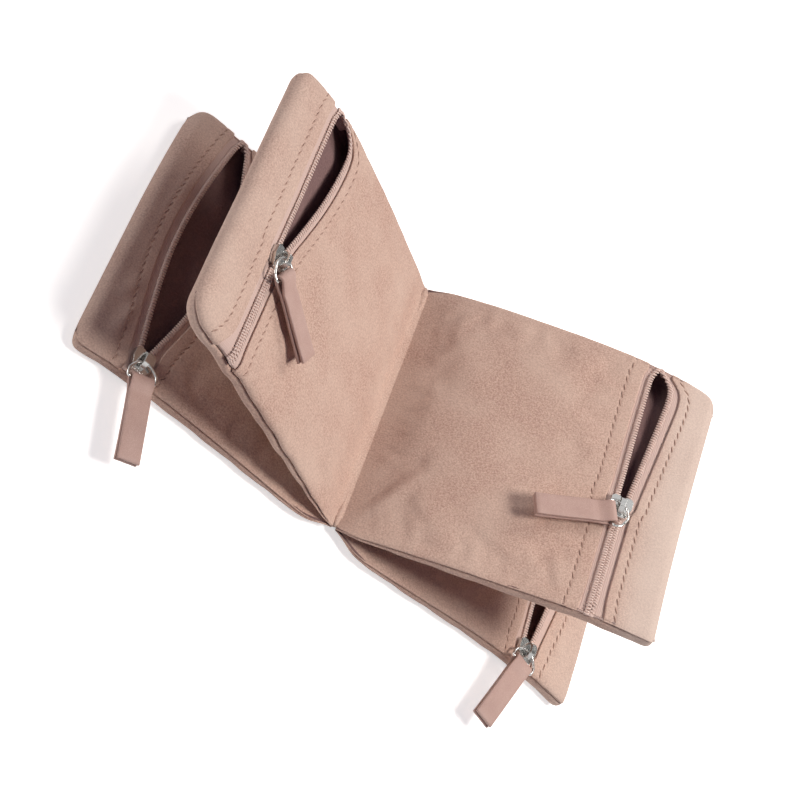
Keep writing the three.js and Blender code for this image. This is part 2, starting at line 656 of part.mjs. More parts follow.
// One whole pocket, raised to its angle about the spine. Left pockets are mirror images.
function zipPocket(pocket) {
  const panels = pocketPanels(pocket);
  const flat = new THREE.Group();
  flat.rotation.y = -radians(pocket.angle);
  flat.add(namedMesh(`${pocket.name}_back_panel`, panels.back, BACK_PANEL_CLOTH));
  flat.add(namedMesh(`${pocket.name}_front_panel`, panels.front, FRONT_PANEL_CLOTH));
  flat.add(namedMesh(`${pocket.name}_zip_tape_inner`, zipHalf(pocket, -1), ZIP_TAPE));
  flat.add(namedMesh(`${pocket.name}_zip_tape_outer`, zipHalf(pocket, 1), ZIP_TAPE));
  flat.add(zipPull(pocket));
  const placed = new THREE.Group();
  placed.position.z = HINGE_HEIGHT;
  placed.scale.x = pocket.side;
  placed.add(flat);
  return placed;
}

// Spine: the pressed and stitched middle of both long pouches, as one firm cord of cloth.
function spineSeam() {
  const outline = Array.from({ length: SPINE_SIDES }, (_, i) => {
    const angle = (2 * Math.PI * (i + 0.5)) / SPINE_SIDES;
    return [SPINE_RADIUS * Math.cos(angle), SPINE_RADIUS * Math.sin(angle)];
  });
  const geometry = stripped(plate(outline, -EDGE, EDGE).rotateX(Math.PI / 2));
  return namedMesh('spine_seam', mergeVertices(geometry, 1e-5), SPINE_CLOTH);
}

const organizer = new THREE.Group();
organizer.name = 'travel_jewelry_organizer';
const spine = spineSeam();
spine.position.z = HINGE_HEIGHT;
organizer.add(spine);
for (const pocket of POCKETS) {
  organizer.add(zipPocket(pocket));
}
const middle = new THREE.Box3().setFromObject(organizer, true).getCenter(new THREE.Vector3());
organizer.position.set(-middle.x, -middle.y, 0);

export default organizer;
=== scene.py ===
# Travel jewelry organizer: a soft booklet of four zip pockets that turn about one sewn spine.
# Lengths are in millimetres until a point is placed, and in metres in Blender.
import json
import math

import bpy
import numpy as np
from mathutils import Matrix, Vector


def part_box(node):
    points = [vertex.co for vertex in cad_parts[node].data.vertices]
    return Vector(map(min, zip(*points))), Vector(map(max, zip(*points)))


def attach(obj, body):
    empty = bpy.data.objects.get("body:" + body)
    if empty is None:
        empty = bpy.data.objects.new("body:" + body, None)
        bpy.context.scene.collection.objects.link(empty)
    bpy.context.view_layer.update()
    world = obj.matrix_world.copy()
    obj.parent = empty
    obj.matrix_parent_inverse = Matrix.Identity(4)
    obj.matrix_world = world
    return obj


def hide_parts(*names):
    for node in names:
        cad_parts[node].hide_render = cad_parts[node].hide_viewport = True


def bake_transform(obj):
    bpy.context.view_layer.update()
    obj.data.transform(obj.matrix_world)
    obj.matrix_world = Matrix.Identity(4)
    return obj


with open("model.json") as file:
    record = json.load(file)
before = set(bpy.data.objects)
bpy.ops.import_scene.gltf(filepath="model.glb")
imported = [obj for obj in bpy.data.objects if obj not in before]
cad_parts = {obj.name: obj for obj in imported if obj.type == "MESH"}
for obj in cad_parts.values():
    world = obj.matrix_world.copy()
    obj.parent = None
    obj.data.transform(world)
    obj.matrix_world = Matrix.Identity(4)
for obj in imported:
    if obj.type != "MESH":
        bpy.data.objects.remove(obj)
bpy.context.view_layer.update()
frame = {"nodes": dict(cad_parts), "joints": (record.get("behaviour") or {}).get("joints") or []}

# Camera
# A long lens looks down on the booklet from its front left corner and is rolled over to the right.
# Its place is a fit to the corners of the pockets and the ends of the zips.
AZIMUTH = math.radians(-38.3)
ELEVATION = math.radians(46.2)
ROLL = math.radians(68.4)
LENS = 89.9
DISTANCE = 0.7706
LOOKS_AT = Vector((0.0097, 0.0289, 0.0))
backward = Vector((
    math.sin(AZIMUTH) * math.cos(ELEVATION),
    -math.cos(AZIMUTH) * math.cos(ELEVATION),
    math.sin(ELEVATION)))
level = backward.cross(Vector((0, 0, -1))).normalized()
upright = backward.cross(level)
picture_right = level * math.cos(ROLL) + upright * math.sin(ROLL)
picture_up = upright * math.cos(ROLL) - level * math.sin(ROLL)
camera = bpy.data.objects.new("camera", bpy.data.cameras.new("camera"))
camera.data.lens = LENS
camera.data.sensor_width = 36
camera.data.clip_start = 0.05
turned = Matrix((picture_right, picture_up, backward)).transposed().to_4x4()
camera.matrix_world = Matrix.Translation(LOOKS_AT + backward * DISTANCE) @ turned
bpy.context.scene.collection.objects.link(camera)
bpy.context.scene.camera = camera

# Back panels
# Each is one piece of microfibre that runs under the pocket, round its outer fold and up to the zip.
# It is sewn to the front panel along both sides, near the top, and its free edge is folded under.
# In a flat pocket s is the distance from the spine, y the place along the zip and n the height off its middle.
MM = 0.001
EDGE = 56
TOP = 4.25
SWELL_LENGTH = 80
SWELL_POWER = 1.6
PUFF_POWER = 2.4
FOLD_START = 117.75
ZIP_LINE = 97
INNER_LIP = 3.7
OUTER_LIP = 4.6
SLIDER_ROOM = 4.6
ROW_SPREAD = 1.4
SLIDER_PARTS = 7.5
ZIP_HALF = 7.5
MOUTH_FROM_SLIDER = 4.8
MOUTH_FROM_EDGE = 2.5
LATE_HEIGHT = 0.781
BEND_START = 85
BEND_LENGTH = 24
ROLL_WIDTH = 5
ROLL_RETURN = 1.5
ROLL_ARC = 5.6
ROLL_END = math.radians(125)
BAND_WIDTH = 3.8
BAND_RETURN = 3.1
BAND_BULGE = 0.35
BAND_END = math.radians(35)
TUCK = 1.4
SPINE_PINCH = 1.2
CLOTH_START = 0.9
CLOTH_THICKNESS = 0.5
HEM_RADIUS = 0.45
HEM_TURN = 2.4
HEM_SPAN = 1.5
STITCH_DIP = 0.3
STITCH_SIDES = (1.4, 0.7)
EASED_AT = (0, 40, 80, 122)
FOLD_ANGLES = (0, 14, 28, 42, 56, 70, 82)

# side is left or right of the spine, angle the rise from the table in degrees, droop the bend of the outer part in
# degrees, slider its place along the zip, inner_bow and outer_bow how far the two lips stand apart in the mouth.
# A crease is (start, end, width, height), its ends as (distance from the spine, place along the zip).
# LOWER is what both pockets of the lower pouch share, and RAISED what both of the upper pouch do.
# Each pocket also sets how strongly a painted highlight makes the cloth over its outer fold paler and greyer.
LOWER = dict(
    angle=0, droop=0, slider=-50.3, flare=(0.3, 0.5), late=False, crown=0.5, belly=0, shoulder=0,
    seam=0.48, seam_gap=0.12, lining_rise=0, slack=0, eased_back=(0, 0, 0, 0))
RAISED = dict(late=True, belly=0.8, slack=0, eased_front=(0, 0, 0, 0))
POCKETS = {
    "outer_left": LOWER | dict(
        side=-1, inner_bow=10, outer_bow=6, inner_sag=-1.2, outer_sag=0.5, phase=0.7, fold_highlight=0.1,
        corners=(5, 8), stitched=(4.5, 4.3), eased_front=(2.6, 1.9, 0.4, 2.5), eased_fold=(0, 0, -2.2),
        creases=[
            ((112, -52), (108, -30), 2.2, 1.2), ((116, -36), (110, -22), 2.5, 0.9),
            ((113, 8), (109, 30), 3, 0.6), ((20, -30), (70, -44), 6, 0.5), ((30, 40), (80, 20), 7, 0.4)]),
    "inner_left": RAISED | dict(
        side=-1, angle=26.5, droop=6.4, slider=-11.5, inner_bow=9.5, outer_bow=0.5, flare=(0.8, 3.6),
        inner_sag=2.2, outer_sag=0.2, phase=2.1, fold_highlight=0.12, crown=0.7, shoulder=1.2, lining_rise=3.0, slack=0.4,
        corners=(11, 4.5), stitched=(4.5, 5.5), seam=0.2, seam_gap=0.18,
        eased_back=(5.8, 5.2, 6, 0.8), eased_fold=(0, 0, 0),
        creases=[
            ((112, -50), (104, -20), 3, 0.45), ((80, -55), (86, -38), 2.4, 0.5), ((14, -52), (34, -30), 5, 0.6),
            ((30, 50), (66, 20), 7, 0.5), ((108, 52), (106, 30), 2.6, 0.4)]),
    "inner_right": RAISED | dict(
        side=1, angle=34.2, droop=9.6, slider=-9, inner_bow=0.5, outer_bow=4.2, flare=(0.5, 0.8),
        inner_sag=-0.3, outer_sag=0.4, phase=3.6, fold_highlight=0.5, crown=0.8, shoulder=2.3, lining_rise=3.2,
        corners=(3, 7), stitched=(5.5, 3.7), seam=0.72, seam_gap=0.3,
        eased_back=(5.6, 5.4, 3.8, -0.8), eased_fold=(1.8, 0.4, 0.8),
        creases=[
            ((8, -50), (26, -18), 4.5, 0.9), ((12, 46), (40, 12), 6, 0.7), ((46, -54), (60, -20), 6, 0.45),
            ((84, -54), (80, -36), 2.4, 0.5), ((70, 54), (60, 26), 6, 0.45), ((112, -40), (116, 10), 3, 0.35)]),
    "outer_right": LOWER | dict(
        side=1, inner_bow=1.5, outer_bow=4, inner_sag=-0.4, outer_sag=0.3, phase=5.2, fold_highlight=0.25,
        corners=(4, 4), stitched=(4.5, 4.5), eased_front=(3, 2.2, 0, 3), eased_fold=(2.8, 2.4, 2.5),
        creases=[
            ((24, -54), (60, -30), 5, 0.5), ((70, -50), (84, -20), 4, 0.4), ((112, -50), (108, -26), 2.4, 0.5)]),
}

spine_low, spine_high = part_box("spine_seam")
SPINE_MIDDLE = (Vector(spine_low) + Vector(spine_high)) / 2 / MM


def smooth(t):
    """A soft step from 0 to 1."""
    t = np.clip(t, 0, 1)
    return t * t * (3 - 2 * t)


def seam_gap(pocket, s):
    """Half of the groove at the side seam, which closes towards the spine and the outer fold."""
    return pocket["seam_gap"] * smooth(s / 16) * (1 - 0.8 * smooth((s - 108) / 8))


def half_thickness(s):
    """From the middle of the pocket to its face: a wedge that swells away from the spine."""
    swell = TOP * (1 - (1 - np.clip(s / SWELL_LENGTH, 0, 1)) ** SWELL_POWER)
    return swell + 0.2 * smooth(s / 6) * (1 - smooth((s - 25) / 45))


def half_width(pocket, s, nose, side=1):
    """From the middle of the pocket to its side. The outer corners are rounded, each with its own radius."""
    radius = np.where(np.asarray(side) < 0, *pocket["corners"])
    reach = FOLD_START + TOP - radius
    past = np.clip((s + half_thickness(s) * np.sin(nose) - reach) / radius, 0, 1)
    corner = radius * (1 - np.sqrt(1 - 0.96 * past * past))
    return EDGE - corner - SPINE_PINCH * (1 - smooth(s / 12))


def mouth_share(pocket, y):
    """How far along the open mouth a point lies, from the slider to the back seam."""
    start = pocket["slider"] + MOUTH_FROM_SLIDER
    return np.clip((y - start) / (EDGE - MOUTH_FROM_EDGE - start), 0, 1)


def row_offset(pocket, y, bow):
    """How far a row of teeth stands off the closed zip. A late mouth is widest near the back seam."""
    parted = ROW_SPREAD * smooth((y - pocket["slider"] + 1.8) / 3.8) * (1 - smooth((y - EDGE + 7) / 6))
    share = mouth_share(pocket, y)
    if pocket["late"]:
        return parted + bow * (share - share ** 16) / LATE_HEIGHT
    return parted + bow * np.sin(math.pi * share)


def lip_distance(pocket, y, near, flare):
    """The lips lie close to the coil, part where the slider stands and flare at the ends of the zip."""
    beside = np.exp(-(np.abs((y - pocket["slider"]) / SLIDER_PARTS) ** 4))
    at_front = smooth((-y - 42) / 14) ** 2
    at_back = smooth((y - 49) / 7) ** 2
    return near + (SLIDER_ROOM - near) * beside + flare * at_front + 0.6 * at_back


def inner_lip(pocket, y):
    distance = lip_distance(pocket, y, INNER_LIP, pocket["flare"][0])
    return ZIP_LINE - distance - row_offset(pocket, y, pocket["inner_bow"])


def outer_lip(pocket, y):
    distance = lip_distance(pocket, y, OUTER_LIP, pocket["flare"][1])
    return ZIP_LINE + distance + row_offset(pocket, y, pocket["outer_bow"])


def crease(s, y, start, end, width, height):
    """A soft ridge that runs from start to end and dies out at both."""
    run = np.subtract(end, start)
    t = np.clip(((s - start[0]) * run[0] + (y - start[1]) * run[1]) / (run @ run), 0, 1)
    aside = np.hypot(s - start[0] - t * run[0], y - start[1] - t * run[1])
    return height * np.exp(-((aside / width) ** 2)) * np.sin(math.pi * np.clip(t, 0.06, 0.94))


def slow_wave(pocket, s, y, lengths):
    """Waves that cross each other, of the given lengths along s and y, each lower than the one before."""
    total = 0
    for i, (along_s, along_y) in enumerate(lengths):
        angle = 2 * math.pi * (s / along_s + y / along_y) + pocket["phase"] * (i + 1.3)
        total = total + np.sin(angle) / (i + 1)
    return total


def room(pocket, s):
    """The lower pockets stay flat near the spine, where the raised ones close down on them."""
    return 1 if pocket["shoulder"] else smooth((s - 12) / 40)


def face_swell(pocket, s, y):
    """How far the zip face stands off the plain form of the pocket."""
    across = 1 - np.clip(np.abs(y) / EDGE, 0, 1) ** PUFF_POWER
    puff = pocket["crown"] * across * np.sin(math.pi * np.clip((s - 6) / 84, 0, 1)) * room(pocket, s)
    puff = puff + pocket["shoulder"] * smooth(s / 20) * (1 - smooth((s - 22) / 50)) * (0.35 + 0.65 * across)
    puff = puff + 0.14 * slow_wave(pocket, s, y, [(61, 47), (-37, 71), (29, 23)]) * smooth((s - 4) / 20)
    near_seam = np.exp(-((EDGE - np.abs(y)) / 7.0) ** 2)
    puff = puff + 0.16 * near_seam * slow_wave(pocket, s, 0 * y, [(11.5, 90), (7.3, 90)]) * smooth((s - 8) / 16)
    for values in pocket["creases"]:
        puff = puff + crease(s, y, *values)
    quiet = 1 - 0.8 * np.exp(-(((s - ZIP_LINE) / ZIP_HALF) ** 2))
    open_part = np.sin(math.pi * mouth_share(pocket, y))
    inner = pocket["inner_sag"] * open_part * smooth((s - inner_lip(pocket, y) + 14) / 14)
    outer = pocket["outer_sag"] * open_part * smooth((outer_lip(pocket, y) + 10 - s) / 10)
    return puff * quiet + np.where(s < ZIP_LINE, inner, outer)


def over_face(pocket, s, flat, side, turn, depth=0.0, nose=0.0):
    """Points of the zip face. flat is the share of the width, turn the angle of roll over the edge."""
    s = np.asarray(s, float) + 0 * flat
    width = half_width(pocket, s, nose, side)
    h = half_thickness(s)
    seam = pocket["seam"] * h + seam_gap(pocket, s)
    top = h + face_swell(pocket, s, flat * (width - ROLL_WIDTH))
    centre = (seam - top * math.cos(ROLL_END)) / (1 - math.cos(ROLL_END))
    rise = top - centre
    reach = np.where(turn <= math.pi / 2, ROLL_WIDTH, ROLL_RETURN)
    rolled = side * (width - reach + reach * np.sin(turn))
    y = np.where(turn > 0, rolled, flat * (width - ROLL_WIDTH))
    n = centre + rise * np.cos(turn)
    out_y = np.sin(turn) * rise
    out_n = np.cos(turn) * reach
    length = np.hypot(out_y, out_n)
    y = y - side * depth * out_y / length
    n = (n - depth * out_n / length) * np.cos(nose)
    return np.stack([s + h * np.sin(nose), y, n], axis=-1)


FACE_TURNS = np.radians([125, 105, 90, 75, 55, 35, 17])
BAND_TURNS = np.radians([-35, -15, 5, 25, 45, 65, 80])
FLAT_COLUMNS = np.linspace(-1, 1, 53)
NOSE_STEP = 0.016
edge_columns = len(FACE_TURNS) + 1
COLUMN_FLAT = np.concatenate([-np.ones(edge_columns), FLAT_COLUMNS, np.ones(edge_columns)])
COLUMN_SIDE = np.where(COLUMN_FLAT < 0, -1.0, 1.0)
COLUMN_EDGE = np.ones(len(COLUMN_FLAT), bool)
COLUMN_EDGE[edge_columns:-edge_columns] = False
face_turns = np.concatenate([FACE_TURNS[:1], FACE_TURNS])
band_turns = np.concatenate([BAND_TURNS[:1], BAND_TURNS])
COLUMN_TURN = np.concatenate([face_turns, 0 * FLAT_COLUMNS, face_turns[::-1]])
COLUMN_BAND = np.concatenate([band_turns, 0 * FLAT_COLUMNS + math.pi / 2, band_turns[::-1]])
TUCKED = [0, len(COLUMN_FLAT) - 1]
nose_edge = 1 - NOSE_STEP * np.arange(edge_columns)
NOSE_COLUMNS = np.concatenate([-nose_edge, FLAT_COLUMNS * (nose_edge[-1] - NOSE_STEP), nose_edge[::-1]])


def settle_on_nose(pocket, section, s, nose):
    """Near the tip of the fold the columns of both faces come together at even places."""
    share = smooth((nose - math.radians(40)) / math.radians(50))
    width = half_width(pocket, s, nose, COLUMN_SIDE)
    section[:, 1] = (1 - share) * section[:, 1] + share * NOSE_COLUMNS * width
    return section


def face_section(pocket, s, nose=0.0, depth=0.0):
    """The zip face from seam to seam, at the distance s from the spine."""
    section = over_face(pocket, s, COLUMN_FLAT, COLUMN_SIDE, COLUMN_TURN, depth, nose)
    s = np.asarray(s, float) + 0 * COLUMN_FLAT
    width = half_width(pocket, s, nose, COLUMN_SIDE)
    section[TUCKED, 1] = (COLUMN_SIDE * (width - TUCK))[TUCKED]
    return settle_on_nose(pocket, section, s, nose)


def band_section(pocket, s, nose=0.0):
    """The side bands and the underside, from seam to seam."""
    s = np.asarray(s, float) + 0 * COLUMN_FLAT
    width = half_width(pocket, s, nose, COLUMN_SIDE)
    h = half_thickness(s)
    across = 1 - np.clip(np.abs(COLUMN_FLAT), 0, 1) ** PUFF_POWER
    belly = pocket["belly"] * across * np.sin(math.pi * np.clip((s - 6) / 108, 0, 1)) * smooth((s - 18) / 40)
    wave = slow_wave(pocket, s, 50 * COLUMN_FLAT, [(53, 67), (-41, 59)])
    belly = belly + (0.2 * across * wave * smooth((s - 18) / 40) if pocket["belly"] else 0)
    seam = pocket["seam"] * h - seam_gap(pocket, s)
    sink = math.sin(BAND_END)
    centre = (seam - sink * h) / (1 + sink)
    n = centre - (h + centre) * np.sin(COLUMN_BAND) - np.where(COLUMN_EDGE, 0, belly)
    reach = np.where(COLUMN_BAND >= 0, BAND_WIDTH, BAND_RETURN)
    ripple = 0.18 * slow_wave(pocket, s, 0 * s, [(19, 90), (8.7, 90)]) * smooth((s - 8) / 16)
    bulge = BAND_BULGE + ripple * np.cos(COLUMN_BAND)
    banded = COLUMN_SIDE * (width + bulge - reach * (1 - np.cos(COLUMN_BAND)))
    y = np.where(COLUMN_EDGE, banded, COLUMN_FLAT * (width + BAND_BULGE - BAND_WIDTH))
    section = np.stack([s + h * np.sin(nose), y, n * np.cos(nose)], axis=-1)
    section[TUCKED, 1] = (COLUMN_SIDE * (width - TUCK))[TUCKED]
    return settle_on_nose(pocket, section, s, nose)


def column_y(pocket):
    """The places along the zip of the cloth's columns."""
    return face_section(pocket, ZIP_LINE)[:, 1]


def hem(pocket, lip, outward):
    """The folded edge: the cloth turns under along the lip and runs back inside."""
    rows = []
    for degrees in (35, 70, 110, 145, 180):
        angle = math.radians(degrees)
        back = HEM_RADIUS * (1 - math.sin(angle))
        rows.append(face_section(pocket, lip + outward * back, depth=HEM_RADIUS * (1 - math.cos(angle))))
    rows.append(face_section(pocket, lip + outward * HEM_TURN, depth=2 * HEM_RADIUS))
    return rows


def lip_rows(pocket, lip, stitched, outward):
    """From beside the topstitching, which is the third row, to the lip and round its hem."""
    line = lip + outward * stitched
    rows = [face_section(pocket, line + outward * d) for d in STITCH_SIDES]
    rows.append(face_section(pocket, line, depth=STITCH_DIP))
    rows.append(face_section(pocket, line - outward * STITCH_SIDES[1]))
    flat = stitched - HEM_SPAN - HEM_RADIUS
    rows += [face_section(pocket, lip + outward * HEM_RADIUS + outward * (k * flat)) for k in (1, 0.6, 0.25, 0)]
    return rows + hem(pocket, lip, outward)


def placed(pocket, points):
    """Takes points of a flat pocket to where the pocket stands, in metres.

    The filled cloth is eased out past the plain form by the numbers in eased_front and eased_back, which hold
    at the distances EASED_AT from the spine, and in eased_fold, which hold at the fold's front, middle and back.
    slack is how far the seam at its front wavers.
    """
    s, y, n = np.moveaxis(np.asarray(points, float), -1, 0)
    front, back = (
        np.polyval(np.polyfit(EASED_AT, pocket[key], 3), np.clip(s, 0, EASED_AT[-1]))
        for key in ("eased_front", "eased_back"))
    at_front, middle, at_back = pocket["eased_fold"]
    fold = middle + (np.where(y < 0, at_front, at_back) - middle) * (y / EDGE) ** 2
    phase = pocket["phase"]
    waver = pocket["slack"] * (0.6 * np.sin(s / 2.3 + phase) + 0.4 * np.sin(s / 3.7 + 2 * phase))
    waver = waver * smooth((-y - 44) / 12) * smooth((s - 8) / 14) * smooth((118 - s) / 10)
    y = y + waver + back * smooth((y - 15) / 41) - front * smooth((-y - 46) / 10) * smooth(s / 16)
    s = s + fold * smooth((s - 100) / 18)
    if pocket["droop"]:
        radius = BEND_LENGTH / math.radians(pocket["droop"])
        turn = np.clip(s - BEND_START, 0, BEND_LENGTH) / radius
        beyond = np.maximum(s - BEND_START - BEND_LENGTH, 0)
        straight = np.minimum(s, BEND_START)
        s, n = (
            straight + radius * np.sin(turn) + beyond * np.cos(turn) + n * np.sin(turn),
            -radius * (1 - np.cos(turn)) - beyond * np.sin(turn) + n * np.cos(turn))
    angle = math.radians(pocket["angle"])
    x = pocket["side"] * (s * math.cos(angle) - n * math.sin(angle))
    z = s * math.sin(angle) + n * math.cos(angle)
    return np.stack([x + SPINE_MIDDLE.x, y + SPINE_MIDDLE.y, z + SPINE_MIDDLE.z], axis=-1) * MM


def linear(hex_colour):
    """A written sRGB colour as Blender's linear one."""
    parts = [int(hex_colour[i:i + 2], 16) / 255 for i in (1, 3, 5)]
    return [c / 12.92 if c <= 0.04045 else ((c + 0.055) / 1.055) ** 2.4 for c in parts] + [1]


def add_node(tree, kind, links=None, **settings):
    """Adds a node. settings are its properties, and links its inputs: sockets or plain values."""
    made = tree.nodes.new(kind)
    for key, value in settings.items():
        setattr(made, key, value)
    for key, value in (links or {}).items():
        if isinstance(value, bpy.types.NodeSocket):
            tree.links.new(value, made.inputs[key])
        else:
            made.inputs[key].default_value = value
    return made


def new_material(name, **surface):
    """A material with the values that are the same all over.

    It comes with its node tree, its shader and the object's own coordinates, in metres.
    """
    material = bpy.data.materials.new(name)
    material.use_nodes = True
    shader = material.node_tree.nodes["Principled BSDF"]
    for key, value in surface.items():
        shader.inputs[key.replace("_", " ")].default_value = value
    place = add_node(material.node_tree, "ShaderNodeTexCoord").outputs["Object"]
    return material, material.node_tree, shader, place


def dress(tree, shader, colour, bump):
    """Gives the shader its colour and its relief."""
    tree.links.new(colour.outputs["Result"], shader.inputs["Base Color"])
    tree.links.new(bump.outputs["Normal"], shader.inputs["Normal"])


def brushed_microfibre(name, dark, mid, light, nap):
    """Polyester microfibre, woven and then brushed.

    The raised nap looks matte and velvety, with fine specks and faint clouds where it lies another way.
    """
    material, tree, shader, place = new_material(
        name, Roughness=0.92, Specular_IOR_Level=0.25,
        Sheen_Weight=nap, Sheen_Roughness=0.45, Sheen_Tint=linear("#F4E4DA"))
    # Tufts of nap are about 0.4 mm; they are drawn at 0.6 mm so that they show. Specks are 1 mm, clouds 22 mm.
    tufts = add_node(tree, "ShaderNodeTexNoise", {"Vector": place, "Scale": 1 / 0.0006, "Detail": 3})
    clouds = add_node(tree, "ShaderNodeTexNoise", {"Vector": place, "Scale": 1 / 0.022, "Detail": 4})
    specks = add_node(tree, "ShaderNodeTexVoronoi", {"Vector": place, "Scale": 1 / 0.001})
    tone = linear(dark)
    for pattern, low, high, at_low, at_high, paler in (
        (tufts.outputs["Fac"], 0.34, 0.66, 0, 1, mid),
        (clouds.outputs["Fac"], 0.35, 0.7, 0, 0.38, light),
        (specks.outputs["Distance"], 0.12, 0.3, 0.55, 0, light),
    ):
        share = add_node(tree, "ShaderNodeMapRange", {
            "Value": pattern, "From Min": low, "From Max": high, "To Min": at_low, "To Max": at_high})
        tone = add_node(tree, "ShaderNodeMix", {
            "Factor": share.outputs["Result"], "A": tone, "B": linear(paler)}, data_type="RGBA").outputs["Result"]
    # Painted highlight: the cloth over the outer fold is made paler and greyer, as it looks where the lamps light it
    # brightly. The meshes say where, in a point attribute.
    fuzz_and_painted_light = add_node(tree, "ShaderNodeAttribute", attribute_name="fuzz_and_painted_light")
    fold_highlight = add_node(tree, "ShaderNodeMix", {
        "Factor": fuzz_and_painted_light.outputs["Fac"], "A": tone, "B": linear("#DFD2C6")}, data_type="RGBA")
    fine = add_node(tree, "ShaderNodeBump", {
        "Height": tufts.outputs["Fac"], "Strength": 0.35, "Distance": 0.0003})
    pile = add_node(tree, "ShaderNodeBump", {
        "Height": specks.outputs["Distance"], "Normal": fine.outputs["Normal"],
        "Strength": 0.25, "Distance": 0.0002})
    dress(tree, shader, fold_highlight, pile)
    return material


# The shell is dusty pink. The lining has next to no nap, so it looks thinner, smoother and darker.
SHELL = brushed_microfibre("brushed polyester microfibre", "#B18F81", "#D3B4A3", "#DFC8B7", 0.25)
LINING = brushed_microfibre("plain woven polyester lining", "#6E5454", "#806461", "#8E736E", 0.1)


def add_piece(name, points, faces, materials):
    """A smoothly shaded mesh, put in the scene."""
    mesh = bpy.data.meshes.new(name)
    mesh.from_pydata([tuple(p) for p in points], [], faces)
    mesh.polygons.foreach_set("use_smooth", [True] * len(mesh.polygons))
    for material in materials:
        mesh.materials.append(material)
    piece = bpy.data.objects.new(name, mesh)
    bpy.context.scene.collection.objects.link(piece)
    return piece


def grid_mesh(name, points, materials, flip, closed=False):
    """A mesh of rows and columns of points, with its normals turned out by flip."""
    rows, columns = points.shape[:2]
    ahead = [(k, (k + 1) % columns) for k in range(columns if closed else columns - 1)]
    faces = [
        (r * columns + a, r * columns + b, (r + 1) * columns + b, (r + 1) * columns + a)
        for r in range(rows - 1) for a, b in ahead]
    if closed:
        last = (rows - 1) * columns
        faces += [tuple(range(columns))[::-1], tuple(range(last, last + columns))]
    if flip:
        faces = [face[::-1] for face in faces]
    return add_piece(name, points.reshape(-1, 3), faces, materials)


def cloth_piece(name, points, materials, thickness, flip, fuzz_and_painted_light=None, full=None):
    """Cloth laid inward from its outer face, with soft edges, and pressed thin where full is less than 1."""
    piece = grid_mesh(name, points, materials, flip)
    # Where given, the mask of the painted highlight over the outer fold is kept as a point attribute.
    if fuzz_and_painted_light is not None:
        piece.data.attributes.new("fuzz_and_painted_light", "FLOAT", "POINT").data.foreach_set("value", fuzz_and_painted_light.ravel())
    ply = piece.modifiers.new("ply", "SOLIDIFY")
    ply.thickness = thickness * MM
    ply.offset = -1
    ply.material_offset = len(materials) - 1
    ply.material_offset_rim = 0
    if full is not None:
        pressed = piece.vertex_groups.new(name="full")
        for i, share in enumerate(full.ravel()):
            pressed.add([i], float(share), "REPLACE")
        ply.vertex_group = "full"
    soft = piece.modifiers.new("soft", "SUBSURF")
    soft.levels = 1
    soft.render_levels = 1
    return piece


back_grids = {}
for name, pocket in POCKETS.items():
    lip = outer_lip(pocket, column_y(pocket))
    stitched = pocket["stitched"][1]
    # Along the underside, round the fold, and back over the zip face to the lip.
    rows = [band_section(pocket, s) for s in np.linspace(CLOTH_START, FOLD_START - 2.2, 54)]
    rows += [band_section(pocket, FOLD_START, math.radians(a)) for a in FOLD_ANGLES]
    rows += [face_section(pocket, FOLD_START, math.radians(a)) for a in (90, *FOLD_ANGLES[::-1])]
    rows += [
        face_section(pocket, FOLD_START + share * (lip + stitched + STITCH_SIDES[0] - FOLD_START))
        for share in (0.25, 0.5, 0.75)]
    back_stitch_row = len(rows) + 2
    rows += lip_rows(pocket, lip, stitched, 1)
    grid = back_grids[name] = np.array(rows)
    # Painted highlight: from about 100 mm off the spine, the cloth over the outer fold turns paler and greyer.
    fuzz_and_painted_light = pocket["fold_highlight"] * smooth((grid[..., 0] - 100) / 14)
    full = smooth((grid[..., 0] + 2) / 16)
    piece = cloth_piece(
        f"{name}_back_cloth", placed(pocket, grid), [SHELL, LINING], CLOTH_THICKNESS, pocket["side"] < 0, fuzz_and_painted_light, full)
    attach(piece, f"{name}_pocket")
    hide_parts(f"{name}_back_panel")

# Front panels
# The same microfibre, between the spine and the zip. Its edge at the zip is folded under and topstitched,
# and both sides roll over into the seam with the side bands.
SETTLE_FRAMES = 20
MOST_PUCKER = 0.9


def grid_normals(points, outward):
    """The normal at each point of a grid, turned over where outward is -1."""
    along = np.gradient(points, axis=0)
    across = np.gradient(points, axis=1)
    normal = np.cross(along, across) * outward
    return normal / np.maximum(np.linalg.norm(normal, axis=-1, keepdims=True), 1e-9)


